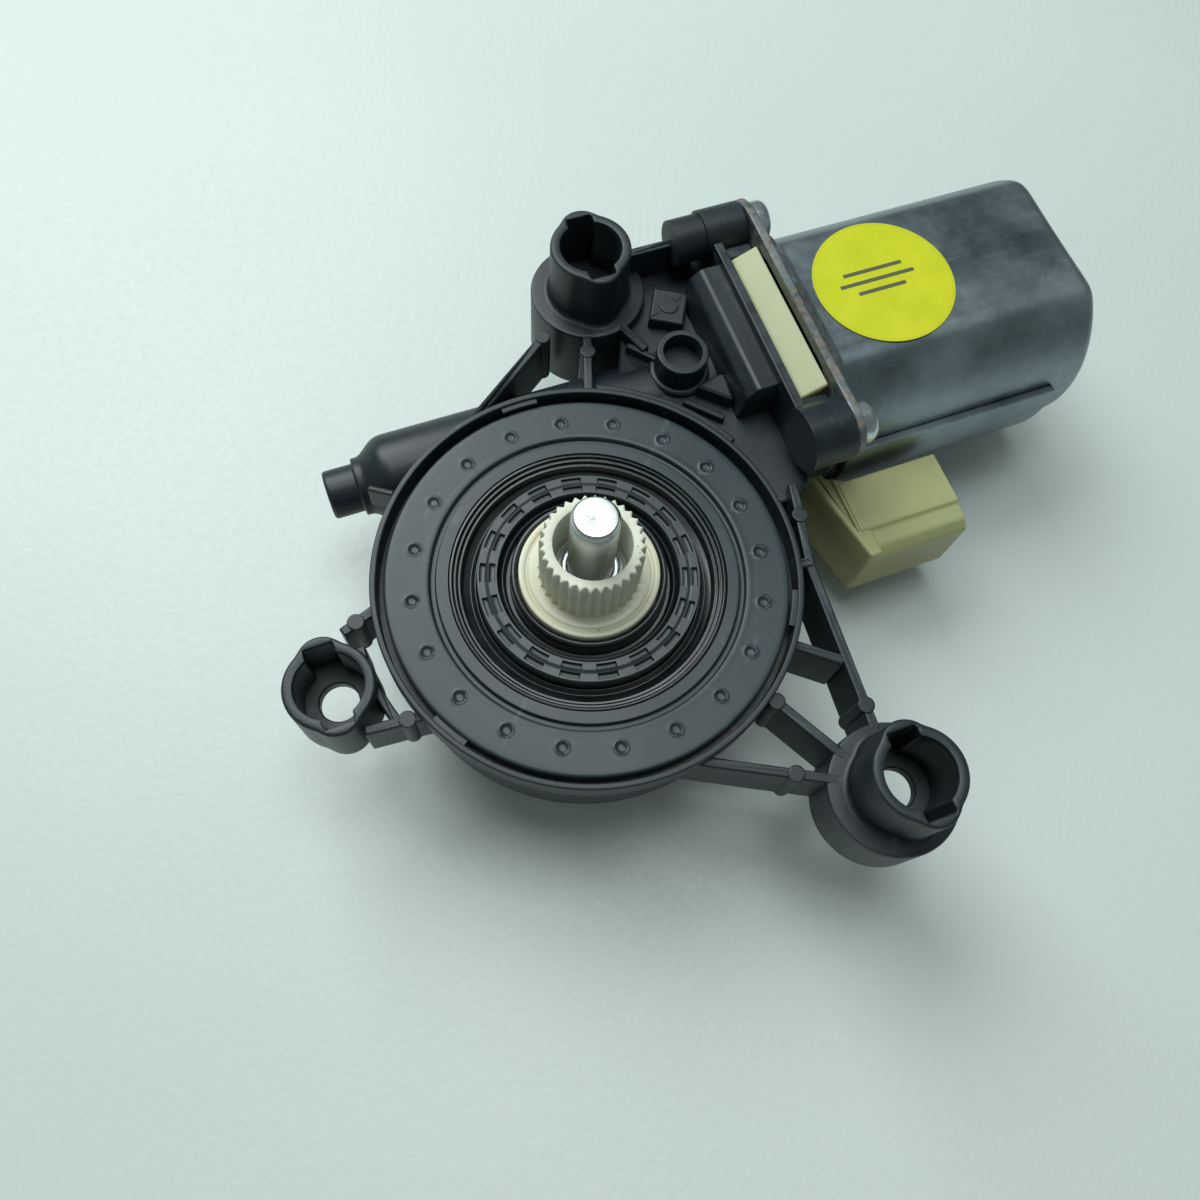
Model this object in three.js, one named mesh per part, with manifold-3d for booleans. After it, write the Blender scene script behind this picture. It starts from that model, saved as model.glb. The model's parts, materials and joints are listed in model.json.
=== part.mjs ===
// Window-lift gear motor, in mm. Origin on the output axis at the flat underside of the gear housing,
// +Z along the output pin, +X along the motor shaft towards the can.
import * as THREE from "three";
import { mergeVertices } from "three/addons/utils/BufferGeometryUtils.js";
import Module from "manifold-3d";

const wasm = await Module();
wasm.setup();

// Clearances: run between turning pieces, seat between pieces fixed together, free where a piece passes.
const gap = { run: 0.1, seat: 0.1, free: 0.3 };

// Shaft line of the motor and worm: height, and distance from the output axis along Y.
const shaft = { y: 35.4, z: 13, radius: 3.4, tipRadius: 3 };

// Worm and wheel: pitch radii add up to the shaft distance.
const wheelTeeth = 73;
const gear = { wheelPitch: 30, addendum: 0.7, dedendum: 0.95, toothShare: 0.4, flank: 0.29 };
gear.wormPitch = shaft.y - gear.wheelPitch;
gear.lead = (2 * Math.PI * gear.wheelPitch) / wheelTeeth;
const wheel = { low: 7.5, high: 18.5, ringInner: 26, webLow: 11, webHigh: 15, floorTop: 6.6 };

// Gear housing: a round pot with a wider rim that holds the cover. Heights above the gears stack up from pot.top.
const pot = { outer: 35.6, wall: 3.6, floor: 3, rimStep: 2.1, rimWall: 1.1, rimHigh: 5.5, top: 25 };
pot.inner = pot.outer - pot.wall;
pot.rimOuter = pot.outer + pot.rimStep;
pot.rimInner = pot.rimOuter - pot.rimWall;
pot.rimLow = pot.top - pot.rimHigh;
const centreBoss = { radius: 7.6, top: 6.4 };

// Sizes of the splined drive hub. Its flange sets how wide the drum round it is.
const hub = { flangeR: 12.3, flangeThick: 2.7, flangeRise: 1.8,
  toothR: 8.8, toothDeep: 0.75, toothHigh: 11.4, teeth: 32 };

// The drum is the wheel's middle, a cup that holds the damper; its end face shows round the hub.
const drum = { sealRoom: 3.6, thick: 3.6, low: 4, recess: 0.7,
  slots: 18, slotLong: 3.4, slotWide: 0.95, slotDeep: 0.8 };
drum.inner = hub.flangeR + drum.sealRoom;
drum.outer = drum.inner + drum.thick;
drum.top = pot.top - drum.recess;
const vanes = { count: 3, thick: 3, low: 7.9, drop: 5.3, inner: 9 };
vanes.high = drum.top - vanes.drop;

// Cover: a flat ring inside the rim, with the seal between it and the drum.
const cover = { thick: 3, recess: 1.3, rimGap: 1.1, sealRoom: 4.9,
  edge: 0.6, grooveAt: 2.2, grooveWide: 1, grooveDeep: 0.9 };
cover.top = pot.top - cover.recess;
cover.low = cover.top - cover.thick;
cover.outer = pot.rimInner - cover.rimGap;
cover.inner = drum.outer + cover.sealRoom;
cover.grooveIn = cover.inner + cover.grooveAt;
cover.grooveOut = cover.grooveIn + cover.grooveWide;
const dimples = { count: 20, inset: 4.7, radius: 0.9, deep: 0.35, firstDeg: 7.8 };
const snapTabs = { firstDeg: 91, count: 3, spanDeg: 11, reach: 0.9, high: 0.5 };

// Heights of the drive hub, the steel pin that it turns on, and the clip that keeps it there.
hub.flangeTop = drum.top + hub.flangeRise;
hub.flangeLow = hub.flangeTop - hub.flangeThick;
hub.rootR = hub.toothR - hub.toothDeep;
hub.top = hub.flangeTop + hub.toothHigh;
hub.cupR = 6.5;
hub.cupFloor = hub.flangeTop + 0.9;
hub.bodyR = 7.2;
hub.low = 7.4;
const pin = { radius: 4, low: 1.2, standsOut: 9.35, chamfer: 0.9, chamferIn: 0.55 };
pin.top = hub.top + pin.standsOut;
const clip = { thick: 1.2, rim: 0.8 };

// Worm tube along the shaft line, from its closed end at the left to the bearing by the motor.
const tube = { end: -39, capR: 4.62, capEnd: -33.2, stepR: 5.55, coneStart: -31.6, coneEnd: -28, outer: 8.4 };
tube.bore = 6.55;
tube.boreStart = -29.2;
tube.tipBore = 3.4;
tube.tipStart = -37.6;

// Mounting bosses: round towers with two opposite lobes, a counterbore and a through hole.
const boss = { outer: 7.8, lobeOffset: 4.6, lobeR: 4.35, bore: 5.75, notchReach: 7.1, notchWide: 5, hole: 3.4 };
boss.floorThick = 2.4;
boss.baseR = 11.3;
boss.baseWall = 2.3;
const bosses = [
  { name: "left", x: -47.2, y: -5.1, top: 25.5, low: 13, baseLow: null },
  { name: "upper", x: 21, y: 58, top: 35.5, low: 23, baseLow: 7 },
  { name: "right", x: 34.8, y: -51.7, top: 35.5, low: 23, baseLow: 10.8 },
];
const rib = { thick: 1.8, top: pot.top - 2, low: 11.2, leftLow: 13.5, dotR: 1.5, dotHigh: 0.2 };

// Motor: everything here is measured along the shaft line from the output axis.
const can = { radius: 24.4, flat: 20, wall: 1.7, start: 55.3, long: 56.7, domeR: 9, domeHigh: 6.5 };
can.end = can.start + can.long;
can.domeEnd = can.end + can.domeHigh;
const flange = { thick: 1.7, radius: 25.6, lugSide: 24.4, lugUp: 15,
  lugR: [5.8, 5], screwHole: 2.3, up: 20.6, down: 22.6 };
const fluxRing = { start: 57.6, end: can.end - 8, thick: 1.6, edgeUp: 5 };
const core = { airGap: 0.7, start: 71, end: can.end - 12, slots: 10, hubR: 8.5, toothTip: 2.8, mouth: 2 };
const coil = { inner: 9.2, below: 1.6, overhang: 5.2, barIn: 9.6, barBelow: 3.4, barWide: 2.6 };
const magnet = { thick: 4.1, halfDeg: 52, start: 69.5, end: can.end - 10 };
magnet.outer = can.radius - can.wall - gap.free;
magnet.inner = magnet.outer - magnet.thick;
core.radius = magnet.inner - core.airGap;
core.slotTop = core.radius - core.toothTip;
coil.outer = core.radius - coil.below;
coil.barOut = core.radius - coil.barBelow;
const commutator = { radius: 6.5, start: 56.5, end: 64.5 };
const sensor = { radius: 7.6, start: 48.6, end: 52.4 };
const brush = { endRoom: 12.7, wide: 6, high: 5, middle: 60.5, holderWall: 1.4, hollow: 0.6, holderInner: 1.6 };
brush.long = can.radius - can.wall - brush.endRoom;
const spring = { long: 3.4, radius: 1.7, wire: 0.25, turns: 4 };
const choke = { radius: 2.3, long: 9, side: 11.5, drop: 11 };

// Plain bearings on the shaft, and the pads that take its end thrust.
const bearing = { tubeEnd: -21, middleStart: 38, middleEnd: 44 };
const thrust = { tubePad: 1.7, canPad: 2.4, canPadR: 5, play: 0.2 };
thrust.canPadLow = can.domeEnd - can.wall - gap.seat - thrust.canPad;
const screw = { shank: 1.9, headR: 4.1, headHigh: 3.6, reach: 7.8, socketR: 1.7, socketDeep: 1.8 };

// Motor end of the housing: an open frame that holds the brush card.
const frame = { left: 45.4, wall: 1.9, near: 15.8, far: 55, side: 2.6, low: -7, stripTop: 31, sideTop: 28.8 };
frame.right = can.start - flange.thick;
const lug = { radius: [6, 4.9], left: 44.8, stubR: 4.4, stubLeft: 38.6 };
const card = { thickLeft: 47.7, top: 28.5, low: -4, bore: 9, armLeft: 50.2, armRight: 57.4 };
const socket = { start: 55, end: 76.6, near: -9.7, far: 6.8, low: -4, top: 13, wall: 1.6, floor: 62 };
const blade = { wide: 2.8, thick: 0.8, start: 57.5, end: 73, pitch: 6 };
const deck = { low: 4.5, top: 20.5, wall: 2 };
const ridge = { left: 39.5, right: 45.6, near: 22.6, far: 51.5, top: 29.2, slope: 2 };
const pipeBoss = { x: 32, y: 36.2, outer: 5, inner: 3.8, top: 27, floor: 23 };
const labelDisc = { x: 72.2, radius: 13.8, thick: 0.2, above: 0.05 };

// A closed manifold solid from a three.js geometry, turned outward if its faces point in.
function solidFrom(geometry) {
  const plain = new THREE.BufferGeometry();
  const source = geometry.index ? geometry.toNonIndexed() : geometry;
  plain.setAttribute("position", source.getAttribute("position"));
  const merged = mergeVertices(plain, 1e-4);
  const points = merged.attributes.position.array;
  const index = merged.index.array;
  const kept = [];
  let volume = 0;
  for (let i = 0; i < index.length; i += 3) {
    const [a, b, c] = [index[i], index[i + 1], index[i + 2]];
    if (a === b || b === c || a === c) continue;
    kept.push(a, b, c);
    const corner = (k) => new THREE.Vector3().fromArray(points, 3 * k);
    volume += corner(a).dot(corner(b).cross(corner(c)));
  }
  const triVerts = Uint32Array.from(volume < 0 ? kept.reverse() : kept);
  return new wasm.Manifold(new wasm.Mesh({ numProp: 3, vertProperties: points, triVerts }));
}

function geometryOf(solid) {
  const mesh = solid.getMesh();
  const geometry = new THREE.BufferGeometry();
  geometry.setAttribute("position", new THREE.BufferAttribute(mesh.vertProperties, 3));
  geometry.setIndex(new THREE.BufferAttribute(mesh.triVerts, 1));
  geometry.computeVertexNormals();
  return geometry;
}

function joined(...solids) {
  return solids.flat().reduce((whole, solid) => whole.add(solid));
}

// A solid of revolution about Z; the profile is a list of [radius, height].
function turned(profile, segments = 40) {
  const points = profile.map(([r, z]) => new THREE.Vector2(r, z));
  return solidFrom(new THREE.LatheGeometry(points, segments).rotateX(Math.PI / 2));
}

function disc(radius, low, high, segments = 40) {
  return turned([[0, low], [radius, low], [radius, high], [0, high]], segments);
}

function ring(inner, outer, low, high, segments = 40) {
  return turned([[inner, low], [outer, low], [outer, high], [inner, high], [inner, low]], segments);
}

function outline(points) {
  return new THREE.Shape(points.map(([x, y]) => new THREE.Vector2(x, y)));
}

function prism(points, low, high) {
  const shape = outline(points);
  return solidFrom(new THREE.ExtrudeGeometry(shape, { depth: high - low, bevelEnabled: false }).translate(0, 0, low));
}

function block(xLow, xHigh, yLow, yHigh, zLow, zHigh) {
  return prism([[xLow, yLow], [xHigh, yLow], [xHigh, yHigh], [xLow, yHigh]], zLow, zHigh);
}

function arcPoints(radius, fromDeg, toDeg, steps) {
  return Array.from({ length: steps + 1 }, (_, i) => {
    const angle = THREE.MathUtils.degToRad(fromDeg + ((toDeg - fromDeg) * i) / steps);
    return [radius * Math.cos(angle), radius * Math.sin(angle)];
  });
}

// Part of a flat ring between two angles.
function sector(inner, outer, fromDeg, toDeg, low, high, steps = 8) {
  const inside = arcPoints(inner, toDeg, fromDeg, steps);
  return prism([...arcPoints(outer, fromDeg, toDeg, steps), ...inside], low, high);
}

// A straight wall from one point to another in the XY plane.
function wallBetween([x1, y1], [x2, y2], thick, low, high) {
  const length = Math.hypot(x2 - x1, y2 - y1);
  const [nx, ny] = [((y1 - y2) / length) * thick * 0.5, ((x2 - x1) / length) * thick * 0.5];
  return prism([[x1 - nx, y1 - ny], [x2 - nx, y2 - ny], [x2 + nx, y2 + ny], [x1 + nx, y1 + ny]], low, high);
}

// The motor's own frame: local Z runs along the shaft line, local X is world Y and local Y is world Z.
const alongShaft = new THREE.Matrix4()
  .makeBasis(new THREE.Vector3(0, 1, 0), new THREE.Vector3(0, 0, 1), new THREE.Vector3(1, 0, 0))
  .setPosition(0, shaft.y, shaft.z);

function onShaft(solid) {
  return solid.transform(alongShaft.toArray());
}

function spun(solid, degrees) {
  return solid.rotate([0, 0, degrees]);
}

function around(solid, count) {
  return Array.from({ length: count }, (_, i) => spun(solid, (360 * i) / count));
}

// Tooth profile round a circle: four points a tooth, starting with the middle of a tooth on +Y.
function toothedRing(rootR, tipR, rootHalf, tipHalf, count) {
  const points = [];
  for (let i = 0; i < count; i++) {
    const middle = Math.PI / 2 + (2 * Math.PI * i) / count;
    for (const [r, half] of [[rootR, -rootHalf], [tipR, -tipHalf], [tipR, tipHalf], [rootR, rootHalf]]) {
      points.push([r * Math.cos(middle + half / r), r * Math.sin(middle + half / r)]);
    }
  }
  return points;
}

// Half widths of a tooth at its root and tip, from its half width at the pitch line.
function toothHalves() {
  const half = (gear.toothShare * gear.lead) / 2;
  return [half + gear.dedendum * gear.flank, half - gear.addendum * gear.flank];
}

function makeWormWheel() {
  const [rootHalf, tipHalf] = toothHalves();
  const [rootR, tipR] = [gear.wheelPitch - gear.dedendum, gear.wheelPitch + gear.addendum];
  const shape = outline(toothedRing(rootR, tipR, rootHalf, tipHalf, wheelTeeth));
  const toothed = new THREE.ExtrudeGeometry(shape, { depth: wheel.high - wheel.low, bevelEnabled: false });
  toothed.translate(0, 0, wheel.low);
  // The teeth lean with the worm's lead angle: each level turns in proportion to its height over the shaft line.
  const place = toothed.attributes.position;
  const leanPerMm = gear.lead / (2 * Math.PI * gear.wormPitch * gear.wheelPitch);
  for (let i = 0; i < place.count; i++) {
    const angle = leanPerMm * (place.getZ(i) - shaft.z);
    const turnedPoint = new THREE.Vector2(place.getX(i), place.getY(i)).rotateAround(new THREE.Vector2(), angle);
    place.setXY(i, turnedPoint.x, turnedPoint.y);
  }
  const rim = solidFrom(toothed).subtract(disc(wheel.ringInner, 0, pot.top, 40));
  const web = ring(drum.inner + 1, wheel.ringInner + 1, wheel.webLow, wheel.webHigh, 40);
  const bore = centreBoss.radius + gap.run;
  const cup = turned([
    [bore, drum.low], [drum.outer, drum.low], [drum.outer, drum.top],
    [drum.inner, drum.top], [drum.inner, wheel.floorTop], [bore, wheel.floorTop], [bore, drum.low],
  ], 40);
  const stop = block(vanes.inner, drum.inner + 1, -vanes.thick / 2, vanes.thick / 2, vanes.low, vanes.high);
  const slot = (radius) =>
    block(radius - drum.slotWide / 2, radius + drum.slotWide / 2, -drum.slotLong / 2, drum.slotLong / 2,
      drum.top - drum.slotDeep, drum.top + 1);
  const rows = [drum.inner + 0.95, drum.outer - 0.95].flatMap((radius) => around(slot(radius), drum.slots));
  const stops = around(spun(stop, 180 / vanes.count), vanes.count);
  return joined(rim, web, cup, stops).subtract(joined(rows));
}

function makeDamper() {
  const inner = hub.bodyR + gap.free;
  const outer = drum.inner - gap.free;
  const base = wheel.floorTop + gap.seat;
  const body = ring(inner, outer, base, vanes.high, 36);
  const room = vanes.thick / 2 + gap.free;
  const slit = block(inner - 1, outer + 1, -room, room, vanes.low - gap.free, vanes.high + 1);
  return body.subtract(joined(around(slit, 2 * vanes.count)));
}

function makeDriveHub() {
  const bore = pin.radius + gap.run;
  const body = turned([
    [bore, hub.low], [hub.bodyR, hub.low], [hub.bodyR, hub.flangeLow], [hub.flangeR, hub.flangeLow],
    [hub.flangeR, hub.flangeTop], [hub.rootR, hub.flangeTop], [hub.rootR, hub.top], [hub.cupR, hub.top],
    [hub.cupR, hub.cupFloor], [bore, hub.cupFloor], [bore, hub.low],
  ], hub.teeth);
  const pitch = (2 * Math.PI * hub.toothR) / hub.teeth;
  const teeth = prism(toothedRing(hub.rootR - 0.2, hub.toothR, pitch * 0.34, pitch * 0.18, hub.teeth),
    hub.flangeTop - 0.4, hub.top);
  const vane = block(hub.bodyR - 1, drum.inner - gap.free, -vanes.thick / 2, vanes.thick / 2, vanes.low, vanes.high);
  const spline = teeth.subtract(disc(hub.cupR + 0.5, 0, hub.top + 1, hub.teeth));
  return joined(body, spline, around(vane, vanes.count));
}

// Rubber ring that seals the drive hub's flange against the drum.
function makeHubSeal() {
  const outer = drum.inner - gap.seat;
  const lip = hub.flangeR + gap.free;
  const low = vanes.high + gap.free;
  const top = hub.flangeTop - 0.6;
  const trough = top - 4.3;
  return turned([
    [lip, low], [outer, low], [outer, top - 3.1], [outer - 0.9, top - 2.7],
    [outer - 1.2, trough], [lip + 1.1, trough],
    [lip + 1.1, top - 0.3], [lip + 0.7, top], [lip + 0.3, top], [lip, top - 0.4], [lip, low],
  ], 28);
}

// Stepped rubber ring between the cover's inner edge and the turning drum.
function makeCoverSeal() {
  const outer = cover.inner - gap.seat;
  const lip = drum.outer + gap.run;
  const top = cover.top - 0.2;
  const low = top - 4.3;
  return turned([
    [lip, low + 0.4], [lip + 1, low], [outer, low], [outer, top], [outer - 0.7, top], [outer - 0.9, top - 0.6],
    [outer - 1.5, top - 0.6], [outer - 1.7, top - 1.2], [outer - 2.2, top - 1.2], [outer - 2.5, low + 1.4],
    [lip + 1, low + 1], [lip, low + 1.6], [lip, low + 0.4],
  ], 32);
}

function makeCover() {
  const plate = turned([
    [cover.inner, cover.low], [cover.outer, cover.low], [cover.outer, cover.top - cover.edge],
    [cover.outer - cover.edge, cover.top], [cover.grooveOut, cover.top],
    [cover.grooveOut, cover.top - cover.grooveDeep],
    [cover.grooveIn, cover.top - cover.grooveDeep], [cover.grooveIn, cover.top], [cover.inner, cover.top],
    [cover.inner, cover.low],
  ], 40);
  const dimple = disc(dimples.radius, cover.top - dimples.deep, cover.top + 1, 5)
    .translate([cover.outer - dimples.inset, 0, 0]);
  return plate.subtract(joined(around(spun(dimple, dimples.firstDeg), dimples.count)));
}

function makePin() {
  return turned([
    [0, pin.low], [pin.radius, pin.low], [pin.radius, pin.top - pin.chamfer],
    [pin.radius - pin.chamferIn, pin.top], [0, pin.top],
  ], 32);
}

// Spring-steel ring in the hub's cup, pressed on the pin.
function makeClip() {
  const low = hub.cupFloor + gap.free;
  return ring(pin.radius + gap.seat, hub.cupR - clip.rim, low, low + clip.thick, 28);
}

// Tower outline: a circle with two lobes along Y, as one loop.
function towerOutline(radius, lobeOffset, lobeR, steps) {
  const tangent = THREE.MathUtils.radToDeg(Math.acos((radius - lobeR) / lobeOffset));
  const lobe = (side) =>
    arcPoints(lobeR, side - 90 + (90 - tangent), side + 90 - (90 - tangent), steps).map(([x, y]) => [
      x + lobeOffset * Math.cos(THREE.MathUtils.degToRad(side)),
      y + lobeOffset * Math.sin(THREE.MathUtils.degToRad(side)),
    ]);
  const flank = (side) => arcPoints(radius, side - (90 - tangent), side + (90 - tangent), steps);
  return [...flank(0), ...lobe(90), ...flank(180), ...lobe(270)];
}

// Everything solid of one boss, without its holes.
function bossBody({ x, y, top, low, baseLow }) {
  const tower = prism(towerOutline(boss.outer, boss.lobeOffset, boss.lobeR, 4), low, top);
  const base = baseLow === null ? [] : [disc(boss.baseR, baseLow, low, 28)];
  return joined(tower, base).translate([x, y, 0]);
}

// Counterbore with its two notches, the through hole, and the room inside the base ring.
function bossHoles({ x, y, top, low, baseLow }) {
  const seat = baseLow === null ? low + boss.floorThick : low;
  const counterbore = disc(boss.bore, seat, top + 1, 20);
  const half = boss.notchWide / 2;
  const notches = block(-half, half, -boss.notchReach, boss.notchReach, seat, top + 1);
  const hole = disc(boss.hole, 0, top, 16);
  const room = baseLow === null ? [] : [disc(boss.baseR - boss.baseWall, 0, low - boss.floorThick, 24)];
  return joined(counterbore, notches, hole, room).translate([x, y, 0]);
}

function makeRibs() {
  const walls = [
    { from: [-43, 4], to: [-34, 7.4], low: rib.leftLow, dot: 0.27 },
    { from: [-44, -13.6], to: [-32, -14.5], low: rib.leftLow, dot: 0.57 },
    { from: [9.2, 50.4], to: [-10, 36.4], low: rib.low, dot: 0.02 },
    { from: [17.2, 47.8], to: [12.9, 35.5], low: rib.low, dot: 0.26 },
    { from: [24.3, 48.2], to: [27, 41.5], low: rib.low, dot: null },
    { from: [42.2, 5.6], to: [38.4, -10.7], low: rib.low, dot: 0.4 },
    { from: [38.4, -10.7], to: [36.2, -42], low: rib.low, dot: 0.85 },
    { from: [38.6, -10], to: [34, -9.3], low: rib.low, dot: null },
    { from: [36.4, -28.9], to: [27.4, -21.7], low: rib.low, dot: null },
    { from: [29.2, -44], to: [20.4, -28.1], low: rib.low, dot: 0.75 },
    { from: [26.5, -47.2], to: [2.8, -34.9], low: rib.low, dot: 0.25 },
  ];
  const straight = walls.map(({ from, to, low }) => wallBetween(from, to, rib.thick, low, rib.top));
  const dots = walls.filter(({ dot }) => dot !== null).map(({ from, to, dot, low }) =>
    disc(rib.dotR, low, rib.top + rib.dotHigh, 8).translate([
      from[0] + (to[0] - from[0]) * dot, from[1] + (to[1] - from[1]) * dot, 0]));
  const guard = sector(40, 41.6, 179, 200, rib.leftLow, rib.top - 0.4, 5);
  const strip = sector(pot.rimOuter - 1, 39.6, 26, 68, rib.low, pot.top - 1.6, 8);
  const upperWall = wallBetween([27, 60.2], [44, 60.2], rib.thick, rib.low, 28);
  return [...straight, ...dots, guard, strip, upperWall];
}

// Raised deck between the pot, the upper boss and the motor end, hollow from below.
function makeDeck() {
  const edge = [[15, 27], [33, 11], [40, 3], [47, 6], [47, 62.5], [38, 62.5], [27, 57.5], [23, 45]];
  const middle = [35.5, 35];
  const inside = edge.map(([x, y]) => {
    const away = Math.hypot(x - middle[0], y - middle[1]);
    const keep = (away - 1.5 * deck.wall) / away;
    return [middle[0] + (x - middle[0]) * keep, middle[1] + (y - middle[1]) * keep];
  });
  return prism(edge, deck.low, deck.top).subtract(prism(inside, deck.low - 1, shaft.z));
}

function makeDeckFeatures() {
  const pipe = disc(pipeBoss.outer, deck.top - 1, pipeBoss.top, 24).translate([pipeBoss.x, pipeBoss.y, 0]);
  const pad = wallBetween([33, 46], [36.8, 52.8], 7, deck.top - 1, 23.2);
  const corner = prism([[32.6, 30.4], [38.6, 25], [39.2, 31.6]], deck.top - 1, 23.6);
  const foot = deck.top - 1;
  const right = ridge.right + 0.4;
  const profile = [
    [foot, ridge.left - 1], [ridge.top - ridge.slope, ridge.left], [ridge.top, ridge.left + ridge.slope],
    [ridge.top, right], [foot, right],
  ];
  const ridgeBody = prism(profile.map(([z, x]) => [z, x]), ridge.near, ridge.far)
    .transform([0, 0, 1, 0, 1, 0, 0, 0, 0, 1, 0, 0, 0, 0, 0, 1]);
  return [pipe, pad, corner, ridgeBody];
}

// Frame round the brush card, with the two lugs that take the flange screws and a hook under the flange.
function makeMotorEnd() {
  const shell = joined(
    block(frame.left, frame.right, frame.near, frame.far, frame.low, frame.sideTop),
    block(frame.left, frame.left + frame.wall, frame.near, frame.far, frame.low, frame.stripTop),
  );
  const lugs = [-1, 1].flatMap((side, i) => {
    const middle = shaft.y + side * flange.lugSide;
    const up = shaft.z + flange.lugUp;
    const barrel = disc(lug.radius[i], lug.left, frame.right, 20).translate([side * flange.lugSide, flange.lugUp, 0]);
    const [a, b] = side < 0 ? [middle - 2, frame.near + 1] : [frame.far - 1, middle + 2];
    return [onShaft(barrel), block(frame.left, frame.right, a, b, up - 14, up - 1)];
  });
  const stub = onShaft(disc(lug.stubR, lug.stubLeft, lug.left + 1, 16).translate([flange.lugSide, flange.lugUp, 0]));
  const hookTop = shaft.z - flange.down + 1.2;
  const hookEnd = fluxRing.start - gap.free;
  const hook = joined(
    block(frame.right - 3, hookEnd, shaft.y - 5, shaft.y + 5, frame.low - 4.9, frame.low - 2.9),
    block(can.start + gap.free, hookEnd, shaft.y - 5, shaft.y + 5, frame.low - 4, hookTop),
    block(frame.right - 3, frame.right, shaft.y - 5, shaft.y + 5, frame.low - 4.9, frame.low + 1),
  );
  return [shell, ...lugs, stub, hook];
}

function motorEndHoles() {
  const inside = block(frame.left + frame.wall, can.start + 20, frame.near + frame.side, frame.far - frame.side,
    frame.low + frame.side, frame.stripTop + 1);
  const armSlot = block(card.thickLeft + 2, can.start + 20, -20, frame.near + frame.side + 1,
    socket.low - gap.free, socket.top + gap.free);
  const screwHoles = [-1, 1].map((side) =>
    onShaft(disc(screw.shank + gap.seat, frame.right - screw.reach, can.start + 5, 12)
      .translate([side * flange.lugSide, flange.lugUp, 0])));
  return joined(inside, armSlot, screwHoles);
}

function makeTube() {
  return onShaft(turned([
    [0, tube.end], [tube.capR - 0.6, tube.end], [tube.capR, tube.end + 0.6], [tube.capR, tube.capEnd],
    [tube.stepR, tube.capEnd], [tube.stepR, tube.coneStart], [tube.outer, tube.coneEnd],
    [tube.outer, frame.left + frame.wall], [0, frame.left + frame.wall],
  ], 20));
}

function tubeBore() {
  const stop = frame.left + frame.wall + 1;
  return onShaft(turned([
    [0, tube.tipStart], [tube.tipBore, tube.tipStart], [tube.tipBore, tube.boreStart], [tube.bore, tube.boreStart],
    [tube.bore, stop], [0, stop],
  ], 20));
}

function makeHousing() {
  const body = joined(
    disc(pot.outer, 0, pot.rimLow + 0.5, 40),
    disc(pot.rimOuter, pot.rimLow, pot.top, 40),
    makeTube(),
    makeDeck(),
    makeDeckFeatures(),
    makeMotorEnd(),
    makeRibs(),
    bosses.map(bossBody),
  );
  const seat = cover.low - gap.free;
  const pinHole = disc(pin.radius + gap.seat, pin.low - gap.seat, centreBoss.top + 1, 32);
  const chamber = joined(disc(pot.inner, pot.floor, seat + 1, 40), disc(pot.rimInner, seat, pot.top + 1, 40));
  const middle = disc(centreBoss.radius, pot.floor - 0.5, centreBoss.top, 40);
  const tabs = Array.from({ length: snapTabs.count }, (_, i) => {
    const from = snapTabs.firstDeg - snapTabs.spanDeg / 2 + (360 * i) / snapTabs.count;
    return sector(pot.rimInner - snapTabs.reach, pot.rimInner + 0.3, from, from + snapTabs.spanDeg,
      cover.top + gap.seat, pot.top - snapTabs.high, 2);
  });
  const pipeHole = disc(pipeBoss.inner, pipeBoss.floor, pipeBoss.top + 1, 24).translate([pipeBoss.x, pipeBoss.y, 0]);
  return body
    .subtract(joined(chamber, tubeBore(), motorEndHoles(), bosses.map(bossHoles), pipeHole))
    .add(joined(middle, tabs))
    .subtract(pinHole);
}

// Screw thread: one cross-section that turns once for each lead along the shaft.
function wormThread(start, turns, steps, sides) {
  const [rootHalf, tipHalf] = toothHalves();
  const [rootR, tipR] = [gear.wormPitch - gear.dedendum, gear.wormPitch + gear.addendum];
  const radiusAt = (along) => {
    const reach = Math.abs(along);
    const share = THREE.MathUtils.clamp((rootHalf - reach) / (rootHalf - tipHalf), 0, 1);
    return rootR + (tipR - rootR) * share;
  };
  const positions = [];
  const index = [];
  const rows = turns * steps;
  for (let row = 0; row <= rows; row++) {
    for (let side = 0; side < sides; side++) {
      const share = side / sides;
      const angle = 2 * Math.PI * (share + row / steps);
      const along = (share > 0.5 ? share - 1 : share) * gear.lead;
      const radius = radiusAt(along);
      positions.push(radius * Math.cos(angle), radius * Math.sin(angle), start + (row / steps) * gear.lead);
    }
  }
  const at = (row, side) => row * sides + (side % sides);
  for (let row = 0; row < rows; row++) {
    for (let side = 0; side < sides; side++) {
      index.push(at(row, side), at(row, side + 1), at(row + 1, side + 1));
      index.push(at(row, side), at(row + 1, side + 1), at(row + 1, side));
    }
  }
  const ends = [[0, start], [rows, start + turns * gear.lead]];
  ends.forEach(([row, z]) => {
    const middle = positions.length / 3;
    positions.push(0, 0, z);
    for (let side = 0; side < sides; side++) {
      const pair = [at(row, side), at(row, side + 1)];
      index.push(middle, ...(row === 0 ? pair.reverse() : pair));
    }
  });
  const geometry = new THREE.BufferGeometry();
  geometry.setAttribute("position", new THREE.Float32BufferAttribute(positions, 3));
  geometry.setIndex(index);
  return solidFrom(geometry);
}

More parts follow.
